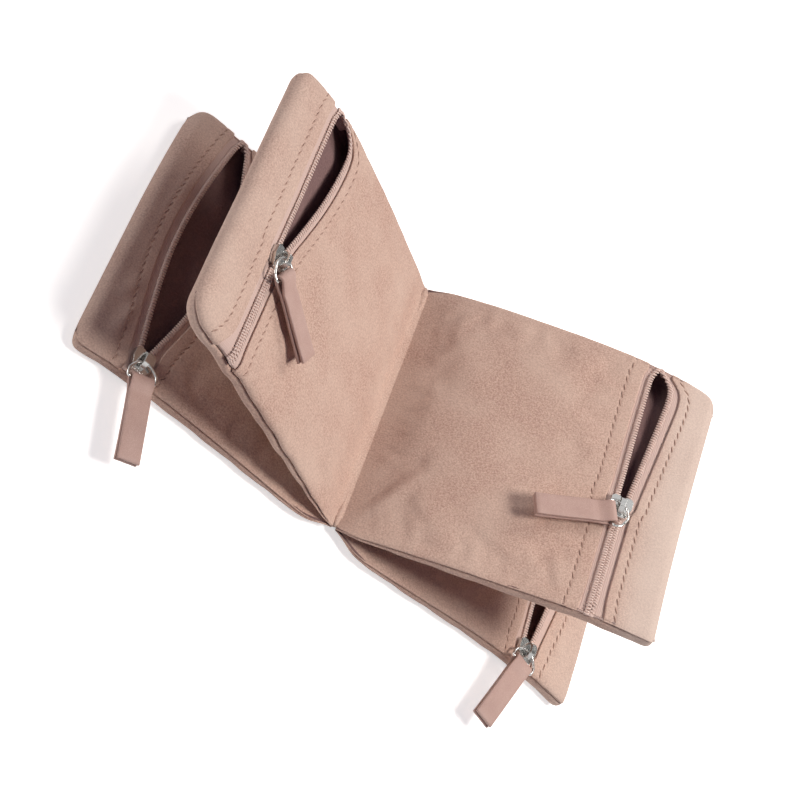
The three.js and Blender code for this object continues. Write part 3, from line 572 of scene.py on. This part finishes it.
def settled(grids, frees):
    """Lets the cloth puff and pucker between its seams: a cloth simulation, pinned where free is 0."""
    sheets = {}
    for name, grid in grids.items():
        sheet = grid_mesh(f"{name}_sim", grid * MM, [], POCKETS[name]["side"] > 0)
        pins = sheet.vertex_groups.new(name="pins")
        for i, free in enumerate(frees[name].ravel()):
            pins.add([i], 1 - float(free), "REPLACE")
        cloth = sheet.modifiers.new("cloth", "CLOTH")
        for key, value in dict(
            quality=6, mass=0.1, tension_stiffness=12, compression_stiffness=12, shear_stiffness=4,
            bending_stiffness=0.25, vertex_group_mass="pins", shrink_min=-0.018,
        ).items():
            setattr(cloth.settings, key, value)
        cloth.settings.effector_weights.gravity = 0
        cloth.collision_settings.use_collision = False
        cloth.point_cache.frame_start = 1
        cloth.point_cache.frame_end = SETTLE_FRAMES
        sheets[name] = sheet
    for step in range(1, SETTLE_FRAMES + 1):
        bpy.context.scene.frame_set(step)
    shapes = {}
    view = bpy.context.evaluated_depsgraph_get()
    for name, sheet in sheets.items():
        moved = sheet.evaluated_get(view).data
        flat = np.empty(len(moved.vertices) * 3)
        moved.vertices.foreach_get("co", flat)
        grid = grids[name]
        normal = grid_normals(grid, 1)
        off = ((flat.reshape(grid.shape) / MM - grid) * normal).sum(axis=-1, keepdims=True)
        shapes[name] = grid + normal * MOST_PUCKER * np.tanh(off / MOST_PUCKER) * frees[name][..., None]
    for sheet in sheets.values():
        mesh = sheet.data
        bpy.data.objects.remove(sheet)
        bpy.data.meshes.remove(mesh)
    bpy.context.scene.frame_set(1)
    return shapes


front_grids, front_free = {}, {}
for name, pocket in POCKETS.items():
    lip = inner_lip(pocket, column_y(pocket))
    rows = [
        face_section(pocket, CLOTH_START + share * (lip - 8.5 - CLOTH_START)) for share in np.linspace(0, 1, 42)]
    front_stitch_row = len(rows) + 2
    rows += lip_rows(pocket, lip, pocket["stitched"][0], -1)
    grid = front_grids[name] = np.array(rows)
    # It is held at the spine, at the topstitching and at both seams.
    front_free[name] = (
        smooth((grid[..., 0] - 5) / 6) * smooth((lip - 7 - grid[..., 0]) / 4) * smooth((54 - np.abs(grid[..., 1])) / 5)
        * room(pocket, grid[..., 0]))
front_grids = settled(front_grids, front_free)
for name, pocket in POCKETS.items():
    full = smooth((front_grids[name][..., 0] + 2) / 16)
    piece = cloth_piece(
        f"{name}_front_cloth", placed(pocket, front_grids[name]), [SHELL, LINING], CLOTH_THICKNESS,
        pocket["side"] > 0, None, full)
    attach(piece, f"{name}_pocket")
    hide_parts(f"{name}_front_panel")

# Linings
# A loose bag of thin woven polyester hangs inside each pocket, caught in the same seams.
# It shows in the open mouths, darker than the shell and lightly creased.
LINING_GAP = 1.1
LINING_THICKNESS = 0.25
LINING_CREASES = [((78, -40), (104, 40), 3.5, 1.0), ((84, 44), (108, 6), 3, 0.7)]

for name, pocket in POCKETS.items():
    # It starts a little way from the spine, and inward is up over the underside.
    shell = back_grids[name][4:back_stitch_row - 1, 2:-2]
    inward = grid_normals(shell, 1)
    inward *= np.sign(inward[20, shell.shape[1] // 2, 2])
    s, y = shell[..., 0], shell[..., 1]
    underside = shell[..., 2] < 0
    # Under the mouth it is creased, and in the raised pockets it stands off the shell there.
    creased = smooth((20 - np.abs(s - 90)) / 20) * smooth((48 - np.abs(y)) / 10) * underside
    risen = smooth((28 - np.abs(s - 91)) / 16) * smooth((52 - np.abs(y)) / 12) * underside
    fold = sum(crease(s, y, *values) for values in LINING_CREASES)
    slack = 0.25 * (1 + slow_wave(pocket, s, y, [(17, 33), (-13, 21)]))
    loose = LINING_GAP + pocket["lining_rise"] * risen + creased * (fold + slack)
    lining = shell + inward * loose[..., None]
    piece = cloth_piece(f"{name}_lining", placed(pocket, lining), [LINING], LINING_THICKNESS, pocket["side"] < 0)
    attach(piece, f"{name}_pocket")

# Zips
# Size 3 nylon coil zips: a woven polyester tape along each lip, and on its edge a coil of nylon thread
# whose turns hook into those of the other tape. The tapes run over the sides into the seams.
PANEL_TO_COIL = 5.1
TAPE_TOP_DEPTH = 1.0
TAPE_THICKNESS = 0.5
TAPE_LAP = 3.4
TOOTH_REACH = 0.45
COIL_WIDTH = 2.1
COIL_PITCH = 1.1
COIL_THREAD = 0.4
COIL_DEPTH = 0.55
COIL_RISE = 0.26
COIL_STEPS = 10
FLAT_HALF = EDGE - ROLL_WIDTH
LEAVES_FACE = 1.38

# Twill weave gives the tape fine ribs and a faint sheen, a little paler than the shell.
tape_material, tree, shader, place = new_material(
    "twill woven polyester tape", Roughness=0.8, Sheen_Weight=0.15, Sheen_Roughness=0.5)
# Its ribs are about 0.4 mm apart and run along the tape; they are drawn 0.6 mm apart so that they show.
# A wave texture of scale 1 repeats every 2 pi / 20. The yarn's fuzz is 0.8 mm.
ribs = add_node(tree, "ShaderNodeTexWave", {
    "Vector": place, "Scale": 1 / 0.0006 / 20 * 2 * math.pi, "Distortion": 0.8, "Detail": 2},
    bands_direction="X")
fuzz = add_node(tree, "ShaderNodeTexNoise", {"Vector": place, "Scale": 1 / 0.0008, "Detail": 2})
tone = add_node(tree, "ShaderNodeMix", {
    "Factor": ribs.outputs["Fac"], "A": linear("#C9ABA0"), "B": linear("#DCC4BA")}, data_type="RGBA")
fuzz_and_painted_light = add_node(tree, "ShaderNodeMix", {
    "Factor": fuzz.outputs["Fac"], "A": tone.outputs["Result"], "B": linear("#CDB2A6")}, data_type="RGBA")
relief = add_node(tree, "ShaderNodeBump", {"Height": ribs.outputs["Fac"], "Strength": 0.5, "Distance": 0.00015})
dress(tree, shader, fuzz_and_painted_light, relief)

# Drawn nylon is smooth and a little waxy, so that each turn of the coil catches a small soft light. Its tint
# changes over 2.5 mm.
coil_material, tree, shader, place = new_material("drawn nylon coil", Roughness=0.42, IOR=1.53)
drawn = add_node(tree, "ShaderNodeTexNoise", {"Vector": place, "Scale": 1 / 0.0025, "Detail": 3})
tone = add_node(tree, "ShaderNodeMix", {
    "Factor": drawn.outputs["Fac"], "A": linear("#CDAFA3"), "B": linear("#E2CBC0")}, data_type="RGBA")
relief = add_node(tree, "ShaderNodeBump", {"Height": drawn.outputs["Fac"], "Strength": 0.15, "Distance": 0.0001})
dress(tree, shader, tone, relief)


def along_zip(pocket, v, s_of_y, depth):
    """Points of the zip at v, the distance from the pocket's middle measured over its rolled sides.

    Past LEAVES_FACE quarter turns of the roll it leaves the cloth's face and runs into the seam.
    """
    over = (np.abs(v) - FLAT_HALF) / ROLL_ARC
    flat = np.clip(v / FLAT_HALF, -1, 1)
    points = over_face(pocket, s_of_y, flat, np.sign(v), np.clip(over, 0, LEAVES_FACE) * math.pi / 2, depth)
    inside = np.maximum(over - LEAVES_FACE, 0) * ROLL_ARC
    return points - np.stack([0 * inside, np.sign(v) * 0.45 * inside, 1.3 * inside], axis=-1)


def tube_mesh(name, paths, radius, sides, material):
    """Threads as round tubes with closed ends, all in one mesh."""
    points, faces, base = [], [], 0
    for path in paths:
        path = np.asarray(path, float)
        run = np.gradient(path, axis=0)
        run /= np.maximum(np.linalg.norm(run, axis=1, keepdims=True), 1e-12)
        aside = np.cross(run, [0.31, 0.17, 0.93])
        aside /= np.maximum(np.linalg.norm(aside, axis=1, keepdims=True), 1e-12)
        other = np.cross(run, aside)
        angles = 2 * math.pi * np.arange(sides) / sides
        ring = aside[:, None] * np.cos(angles)[None, :, None] + other[:, None] * np.sin(angles)[None, :, None]
        points.append((path[:, None] + ring * radius).reshape(-1, 3))
        for r in range(len(path) - 1):
            at = base + r * sides
            faces += [
                (at + (k + 1) % sides, at + sides + (k + 1) % sides, at + sides + k, at + k)
                for k in range(sides)]
        faces.append(tuple(base + k for k in reversed(range(sides))))
        last = base + (len(path) - 1) * sides
        faces.append(tuple(last + k for k in range(sides)))
        base += len(path) * sides
    return add_piece(name, np.concatenate(points), faces, [material])


over_side = FLAT_HALF + ROLL_ARC * np.array([0.25, 0.5, 0.75, 1.0, 1.2, LEAVES_FACE, 1.55, 1.8])
tape_v = np.concatenate([-over_side[::-1], np.linspace(-FLAT_HALF, FLAT_HALF, 61), over_side])
for name, pocket in POCKETS.items():
    for label, row, bow in (("inner", -1, pocket["inner_bow"]), ("outer", 1, pocket["outer_bow"])):
        y = np.clip(tape_v, -EDGE, EDGE)
        offset = row_offset(pocket, y, bow)
        tape = [
            along_zip(pocket, tape_v, ZIP_LINE + row * (offset + reach), TAPE_TOP_DEPTH)
            for reach in (0.75, 1.8, 3.2, PANEL_TO_COIL, PANEL_TO_COIL + 1.8, PANEL_TO_COIL + TAPE_LAP)]
        woven = cloth_piece(
            f"{name}_{label}_tape", placed(pocket, np.array(tape)), [tape_material], TAPE_THICKNESS,
            (pocket["side"] > 0) == (row > 0))

        # The teeth of one tape stand half a turn ahead of the other's, so that they mesh.
        turns = int(2 * (FLAT_HALF + ROLL_ARC) / COIL_PITCH)
        k = np.arange(turns * COIL_STEPS)
        v = -FLAT_HALF - ROLL_ARC + COIL_PITCH * (k / COIL_STEPS + (0.5 if row > 0 else 0))
        angle = 2 * math.pi * k / COIL_STEPS
        half_coil = (COIL_WIDTH + TOOTH_REACH) / 2 - COIL_THREAD
        centre = (COIL_WIDTH - TOOTH_REACH) / 2 + row_offset(pocket, np.clip(v, -EDGE, EDGE), bow)
        s = ZIP_LINE + row * (centre + half_coil * np.cos(angle))
        coil = along_zip(pocket, v, s, COIL_DEPTH - COIL_RISE * np.sin(angle))
        teeth = tube_mesh(f"{name}_{label}_coil", [placed(pocket, coil)], COIL_THREAD * MM, 6, coil_material)
        for piece in (woven, teeth):
            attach(piece, f"{name}_pocket")
            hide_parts(f"{name}_zip_tape_{label}")

# Topstitching
# A row of polyester thread runs beside each lip of the zip and holds its folded edge.
# Each stitch sinks a little at its ends, where the thread goes through both plies.
STITCH_PITCH = 3.4
STITCH_LENGTH = 2.95
STITCH_RADIUS = 0.28
STITCH_SLANT = 0.55
STITCH_SINK = 0.12
STITCH_ARCH = 0.34
STITCH_POINTS = 6

# Spun polyester is matte. The thread has the cloth's colour, but it is drawn a shade darker as painted shade for the
# small shadows round each stitch, so the stitches read as dashes.
thread_material, tree, shader, place = new_material(
    "spun polyester thread", Roughness=0.7, Sheen_Weight=0.2, Sheen_Roughness=0.4)
# The thread's twist is about 0.3 mm; it is drawn 2 mm long on each axis, 1.2 mm across its slant, so that it
# shows. A diagonal wave of scale 1 repeats every 2 pi / 10 on each axis.
twist = add_node(tree, "ShaderNodeTexWave", {
    "Vector": place, "Scale": 1 / 0.002 / 10 * 2 * math.pi, "Distortion": 0.6}, bands_direction="DIAGONAL")
tone = add_node(tree, "ShaderNodeMix", {
    "Factor": twist.outputs["Fac"], "A": linear("#9C7C6E"), "B": linear("#B69686")}, data_type="RGBA")
relief = add_node(tree, "ShaderNodeBump", {"Height": twist.outputs["Fac"], "Strength": 0.4, "Distance": 0.00008})
dress(tree, shader, tone, relief)


def stitches(line, outward):
    """Short threads along a line of points, each lifted in its middle and slanted a little."""
    steps = np.linalg.norm(np.diff(line, axis=0), axis=1)
    length = np.concatenate([[0], np.cumsum(steps)])
    paths = []
    for start in np.arange(1.0, length[-1] - STITCH_PITCH, STITCH_PITCH):
        at = start + STITCH_LENGTH * np.linspace(0, 1, STITCH_POINTS)
        points = np.stack([np.interp(at, length, line[:, i]) for i in range(3)], axis=1)
        lift = np.stack([np.interp(at, length, outward[:, i]) for i in range(3)], axis=1)
        arch = np.sin(math.pi * np.linspace(0, 1, STITCH_POINTS))[:, None]
        slant = np.cross(lift, points[-1] - points[0]) / STITCH_LENGTH
        slant = slant * (STITCH_SLANT * np.linspace(-1, 1, STITCH_POINTS))[:, None]
        paths.append(points + lift * (-STITCH_SINK + STITCH_ARCH * arch) + slant)
    return paths


for name, pocket in POCKETS.items():
    threads = []
    for grid, row in ((front_grids[name], front_stitch_row), (back_grids[name], back_stitch_row)):
        outward = grid_normals(grid, 1)
        line, lift = grid[row, 3:-3], outward[row, 3:-3]
        lift = lift * np.sign(lift[len(lift) // 2, 2])
        threads += stitches(line, lift)
    paths = [placed(pocket, path) for path in threads]
    piece = tube_mesh(f"{name}_topstitching", paths, STITCH_RADIUS * MM, 6, thread_material)
    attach(piece, f"{name}_pocket")

# Sliders and pull rings
# Die-cast zinc alloy sliders and rings of bent wire, polished and nickel plated.
# The bridge on each slider holds its ring loosely.
SAME_POINT = 0.00002
SLIDER_ROUNDING = 0.00034

# Polished nickel is a bright mirror, and fine wear breaks its lights into soft streaks.
metal, tree, shader, place = new_material("polished nickel plated zinc", Metallic=1.0)
# Wear comes in patches of 3 mm. Polishing lines are far finer than a pixel; they are drawn 0.25 mm apart.
wear = add_node(tree, "ShaderNodeTexNoise", {"Vector": place, "Scale": 1 / 0.003, "Detail": 5})
lines = add_node(tree, "ShaderNodeTexNoise", {"Vector": place, "Scale": 1 / 0.00025, "Detail": 2})
tone = add_node(tree, "ShaderNodeMix", {
    "Factor": wear.outputs["Fac"], "A": linear("#C2C1BF"), "B": linear("#E2E1DF")}, data_type="RGBA")
rough = add_node(tree, "ShaderNodeMapRange", {"Value": wear.outputs["Fac"], "To Min": 0.12, "To Max": 0.32})
tree.links.new(rough.outputs["Result"], shader.inputs["Roughness"])
relief = add_node(tree, "ShaderNodeBump", {"Height": lines.outputs["Fac"], "Strength": 0.06, "Distance": 0.00005})
dress(tree, shader, tone, relief)

for name in POCKETS:
    slider = frame["nodes"][f"{name}_slider"]
    ring = frame["nodes"][f"{name}_pull_ring"]
    for node in (slider, ring):
        node.data.materials.clear()
        node.data.materials.append(metal)
        weld = node.modifiers.new("weld", "WELD")
        weld.merge_threshold = SAME_POINT
    rounded = slider.modifiers.new("rounded", "BEVEL")
    rounded.width = SLIDER_ROUNDING
    rounded.segments = 4
    rounded.limit_method = "ANGLE"
    rounded.angle_limit = math.radians(25)
    drawn_wire = ring.modifiers.new("drawn wire", "SUBSURF")
    drawn_wire.levels = 2
    drawn_wire.render_levels = 2
    ring.data.polygons.foreach_set("use_smooth", [True] * len(ring.data.polygons))

# Pull tabs
# One strip of cowhide, folded over the wide bar of its ring and glued where the two plies meet.
# The cut edges are left bare, and the plies part a little towards their free ends.
TAB_WIDTH = 8.8
TAB_LENGTH = 30
TAB_PLY = 1.15
TAB_BAR_RADIUS = 1.45
TAB_CLOSES_AT = 5.5
TAB_CORNER = 0.3
TAB_GLUE = 0.3
LOOP_ANGLES = np.radians([22, 45, 68, 90, 112, 135, 158])
# lift is the tab's rise off its ring and curl its bend towards the free end, both in degrees.
TABS = {
    "outer_left": dict(lift=2, curl=-2),
    "inner_left": dict(lift=6, curl=1),
    "inner_right": dict(lift=10, curl=2),
    "outer_right": dict(lift=0, curl=-1.5),
}

# Full grain cowhide, dyed through and left uncoated, shows its pores and has a low satin gloss.
leather, tree, shader, place = new_material("full grain cowhide", Roughness=0.55, Specular_IOR_Level=0.4)
# Hair pores are about 0.2 mm apart; they are drawn 0.6 mm apart so that they show. The dye varies over 6 mm.
pores = add_node(
    tree, "ShaderNodeTexVoronoi", {"Vector": place, "Scale": 1 / 0.0006}, feature="DISTANCE_TO_EDGE")
tanned = add_node(tree, "ShaderNodeTexNoise", {"Vector": place, "Scale": 1 / 0.006, "Detail": 5})
tone = add_node(tree, "ShaderNodeMix", {
    "Factor": tanned.outputs["Fac"], "A": linear("#B49388"), "B": linear("#CAACA1")}, data_type="RGBA")
pore_tone = add_node(tree, "ShaderNodeMapRange", {
    "Value": pores.outputs["Distance"], "From Max": 0.25, "To Min": 0.35, "To Max": 0}).outputs["Result"]
grained = add_node(tree, "ShaderNodeMix", {
    "Factor": pore_tone, "A": tone.outputs["Result"], "B": linear("#9F7F75")}, data_type="RGBA")
relief = add_node(tree, "ShaderNodeBump", {
    "Height": pores.outputs["Distance"], "Strength": 0.3, "Distance": 0.00012})
dress(tree, shader, grained, relief)
joints = {joint["name"]: joint for joint in frame["joints"]}


def tab_path(lift, curl):
    """The middle of the folded strip, seen from the side: along the tab and up from its bar."""
    part = (TAB_PLY + TAB_GLUE) / 2
    upper = []
    for d in np.concatenate([np.linspace(0, TAB_CLOSES_AT, 6), np.linspace(7, TAB_LENGTH, 14)]):
        closing = smooth(d / TAB_CLOSES_AT)
        opened = 0.22 * max(0, (d - 8) / (TAB_LENGTH - 8)) ** 2
        pressed = -0.12 * math.exp(-(((d - TAB_CLOSES_AT) / 0.9) ** 2))
        upper.append((d, (1 - closing) * TAB_BAR_RADIUS + closing * part + opened + pressed))
    under = [(d, -n) for d, n in upper]
    loop = [(-TAB_BAR_RADIUS * math.sin(a), -TAB_BAR_RADIUS * math.cos(a)) for a in LOOP_ANGLES]
    flat = under[::-1] + loop + upper
    bent = []
    for d, n in flat:
        pitch = math.radians(lift) * float(smooth(d / 9)) + math.radians(curl) * max(d, 0) / TAB_LENGTH
        bent.append((d * math.cos(pitch) - n * math.sin(pitch), d * math.sin(pitch) + n * math.cos(pitch)))
    return np.array(bent)


def strip_section():
    """The cut across the leather: a flat oblong with barely rounded corners, as (across, through) pairs."""
    w, t, c = TAB_WIDTH / 2, TAB_PLY / 2, TAB_CORNER
    corners = [
        (w - c, t), (w - c * 0.3, t - c * 0.3), (w, t - c),
        (w, -t + c), (w - c * 0.3, -t + c * 0.3), (w - c, -t)]
    half = corners + [(w / 2, -t), (0, -t), (-w / 2, -t)]
    return half + [(-a, -b) for a, b in half]


for name, pocket in POCKETS.items():
    swing = joints[f"{name}_tab_swing"]
    bar = np.array(swing["pos_m"])
    axis = np.array(swing["axis"]) / np.linalg.norm(swing["axis"])
    old_tab = frame["nodes"][f"{name}_pull_tab"]
    reach = np.mean([v.co for v in old_tab.data.vertices], axis=0) - bar
    along = reach - axis * (reach @ axis)
    along /= np.linalg.norm(along)
    # The tab's upper side is the one that looks the same way as the zip face beside it.
    face_up = np.array(placed(pocket, [[95, 0, 1]]) - placed(pocket, [[95, 0, 0]]))[0]
    up = np.cross(axis, along)
    up *= np.sign(up @ face_up)
    path = tab_path(**TABS[name])
    run = np.gradient(path, axis=0)
    run /= np.linalg.norm(run, axis=1, keepdims=True)
    through = np.stack([-run[:, 1], run[:, 0]], axis=1)
    section = np.array(strip_section())
    side_view = path[:, None] + through[:, None] * section[None, :, 1:2]
    points = (
        bar + MM * (side_view[..., 0:1] * along + side_view[..., 1:2] * up + section[None, :, 0:1] * axis))
    right_handed = np.cross(along, up) @ axis > 0
    piece = grid_mesh(f"{name}_leather_tab", points, [leather], right_handed, closed=True)
    crisp = piece.modifiers.new("crisp", "BEVEL")
    crisp.width = 0.0001
    crisp.limit_method = "ANGLE"
    crisp.angle_limit = math.radians(50)
    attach(piece, f"{name}_pull_tab")
    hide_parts(f"{name}_pull_tab")

# Spine
# The four pockets are sewn together through their inner edges. The pressed edges make a thin firm roll,
# and strips of the shell cloth close the valleys between the pockets.
ROLL_RADIUS = 1.7
ROLL_RINGS = 80
ROLL_SIDES = 14
GUSSET_STATIONS = [6.4, 5.2, 4.1, 3.2, 2.4]
GUSSET_ROWS = 58
GUSSET_THICKNESS = 0.3

# The roll stops short of the front and follows the eased cloth past the back.
lengths = np.linspace(-EDGE + 2, EDGE + 4.6, ROLL_RINGS)
roll_rows = []
for k, y in enumerate(lengths):
    from_end = min(k, ROLL_RINGS - 1 - k) / (ROLL_RINGS - 1)
    ends = math.sqrt(min(1, 0.2 + 30 * from_end)) * (1 - 0.35 * float(smooth((from_end - 0.04) / 0.08)))
    angles = 2 * math.pi * np.arange(ROLL_SIDES) / ROLL_SIDES
    radius = ROLL_RADIUS * ends * (1 + 0.08 * np.sin(3 * angles + 0.21 * y) + 0.05 * math.sin(0.9 * y))
    roll_rows.append(np.stack([radius * np.cos(angles), 0 * angles + y, radius * np.sin(angles)], axis=1))
roll_points = (np.array(roll_rows) + np.array(SPINE_MIDDLE)) * MM
piece = grid_mesh("spine_roll", roll_points, [SHELL], False, closed=True)
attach(piece, "outer_right_pocket")
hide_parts("spine_seam")


def face_points(pocket, stations, sign, y):
    """Points just under the outer face of a pocket near the spine: its zip face, or its underside."""
    points = []
    for s in stations:
        width = float(half_width(pocket, np.array(s), 0)) - 1.5
        points.append((s, y * width / EDGE, sign * (float(half_thickness(np.array(s))) - 0.2)))
    return points


# Each strip runs from one face of a pocket to one of the next: 1 is the zip face, -1 the underside.
VALLEYS = [
    ("right_valley", "outer_right", 1, "inner_right", -1),
    ("middle_valley", "inner_right", 1, "inner_left", 1),
    ("left_valley", "inner_left", -1, "outer_left", 1),
]
middle_row, bottom_column = GUSSET_ROWS // 2, len(GUSSET_STATIONS)
for valley, first, first_face, second, second_face in VALLEYS:
    rows = []
    for y in np.linspace(-EDGE + 3, EDGE - 3, GUSSET_ROWS):
        one = placed(POCKETS[first], face_points(POCKETS[first], GUSSET_STATIONS, first_face, y))
        two = placed(POCKETS[second], face_points(POCKETS[second], GUSSET_STATIONS, second_face, y))[::-1]
        centre = np.array([SPINE_MIDDLE.x, one[-1][1] / MM, SPINE_MIDDLE.z]) * MM
        middle = (one[-1] + two[0]) / 2
        bottom = centre + (middle - centre) * 0.8
        rows.append(np.concatenate([one, [bottom], two]))
    rows = np.array(rows)
    outward = grid_normals(rows, 1)[middle_row, bottom_column]
    away = rows[middle_row, 0] + rows[middle_row, -1] - 2 * rows[middle_row, bottom_column]
    piece = cloth_piece(valley, rows, [SHELL], GUSSET_THICKNESS, outward @ away > 0)
    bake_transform(piece)

# Floor, backdrop and lamps
# A white table and white surroundings. The key lamp hangs nearly overhead on the right, a second one behind,
# and a weak one stands low on the left.
FLOOR_HALF = 4
FLOOR_BELOW = 0.0003
LAMP_DISTANCE = 1.1

floor_mesh = bpy.data.meshes.new("floor")
floor_corners = [(x * FLOOR_HALF, y * FLOOR_HALF, 0) for x, y in ((-1, -1), (1, -1), (1, 1), (-1, 1))]
floor_mesh.from_pydata(floor_corners, [], [(0, 1, 2, 3)])
floor = bpy.data.objects.new("floor", floor_mesh)
floor.location.z = -FLOOR_BELOW
bpy.context.scene.collection.objects.link(floor)

# Matte white lacquer: no gloss, only the soft shadow of the object.
floor_material, tree, shader, place = new_material(
    "matte white table", Roughness=0.9, Base_Color=linear("#F2F0EE"), Emission_Color=linear("#FFFFFF"))
rays = add_node(tree, "ShaderNodeLightPath")
seen = add_node(tree, "ShaderNodeMath", {
    0: rays.outputs["Is Camera Ray"], 1: rays.outputs["Is Glossy Ray"]}, operation="MAXIMUM")
# Around the object the table is dim enough to show its shadow, and further off it is plain white.
off = add_node(tree, "ShaderNodeVectorMath", {0: place}, operation="LENGTH")
fade = add_node(tree, "ShaderNodeMapRange", {
    "Value": off.outputs["Value"], "From Min": 0.25, "From Max": 0.7, "To Min": 0.6, "To Max": 1.0})
glow = add_node(tree, "ShaderNodeMath", {0: seen.outputs[0], 1: fade.outputs["Result"]}, operation="MULTIPLY")
tree.links.new(glow.outputs[0], shader.inputs["Emission Strength"])
floor_mesh.materials.append(floor_material)

world = bpy.data.worlds.new("white surroundings")
bpy.context.scene.world = world
world.use_nodes = True
tree = world.node_tree
rays = add_node(tree, "ShaderNodeLightPath")
seen = add_node(tree, "ShaderNodeMath", {
    0: rays.outputs["Is Camera Ray"], 1: rays.outputs["Is Glossy Ray"]}, operation="MAXIMUM")
level_of_light = add_node(tree, "ShaderNodeMapRange", {"Value": seen.outputs[0], "To Min": 0.1, "To Max": 1.0})
# Polished metal mirrors a room of light and dark patches.
around = add_node(tree, "ShaderNodeTexCoord").outputs["Generated"]
patches = add_node(tree, "ShaderNodeTexNoise", {"Vector": around, "Scale": 2.6, "Detail": 1})
patch_tone = add_node(tree, "ShaderNodeMapRange", {
    "Value": patches.outputs["Fac"], "From Min": 0.44, "From Max": 0.58, "To Min": 0.06, "To Max": 1.0})
mirrored = add_node(tree, "ShaderNodeMix", {
    "Factor": rays.outputs["Is Glossy Ray"], "A": 1.0, "B": patch_tone.outputs["Result"]})
strength = add_node(tree, "ShaderNodeMath", {
    0: level_of_light.outputs["Result"], 1: mirrored.outputs["Result"]}, operation="MULTIPLY")
background = tree.nodes["Background"]
# The light from the surroundings is faintly violet; what is seen of them is white.
tint = add_node(tree, "ShaderNodeMix", {
    "Factor": seen.outputs[0], "A": linear("#C8B4F0"), "B": linear("#FFFFFF")}, data_type="RGBA")
tree.links.new(tint.outputs["Result"], background.inputs["Color"])
tree.links.new(strength.outputs[0], background.inputs["Strength"])

# Each lamp has its direction, its width in metres and its power in watts.
LAMPS = [
    ("soft key lamp", (0.342, -0.05, 0.94), 0.35, 9.3),
    ("soft lamp behind", (0.3, 0.6, 0.74), 0.45, 4.0),
    ("low fill lamp", (-0.96, -0.1, 0.27), 0.55, 3.4),
]
for name, direction, width, power in LAMPS:
    lamp = bpy.data.lights.new(name, "AREA")
    lamp.shape = "DISK"
    lamp.size = width
    lamp.energy = power
    lamp.color = linear("#FFFBF6")[:3]
    hung = bpy.data.objects.new(name, lamp)
    towards_lamp = Vector(direction).normalized()
    hung.location = towards_lamp * LAMP_DISTANCE
    hung.rotation_euler = towards_lamp.to_track_quat("Z", "Y").to_euler()
    bpy.context.scene.collection.objects.link(hung)

bpy.context.scene.view_settings.view_transform = "Standard"
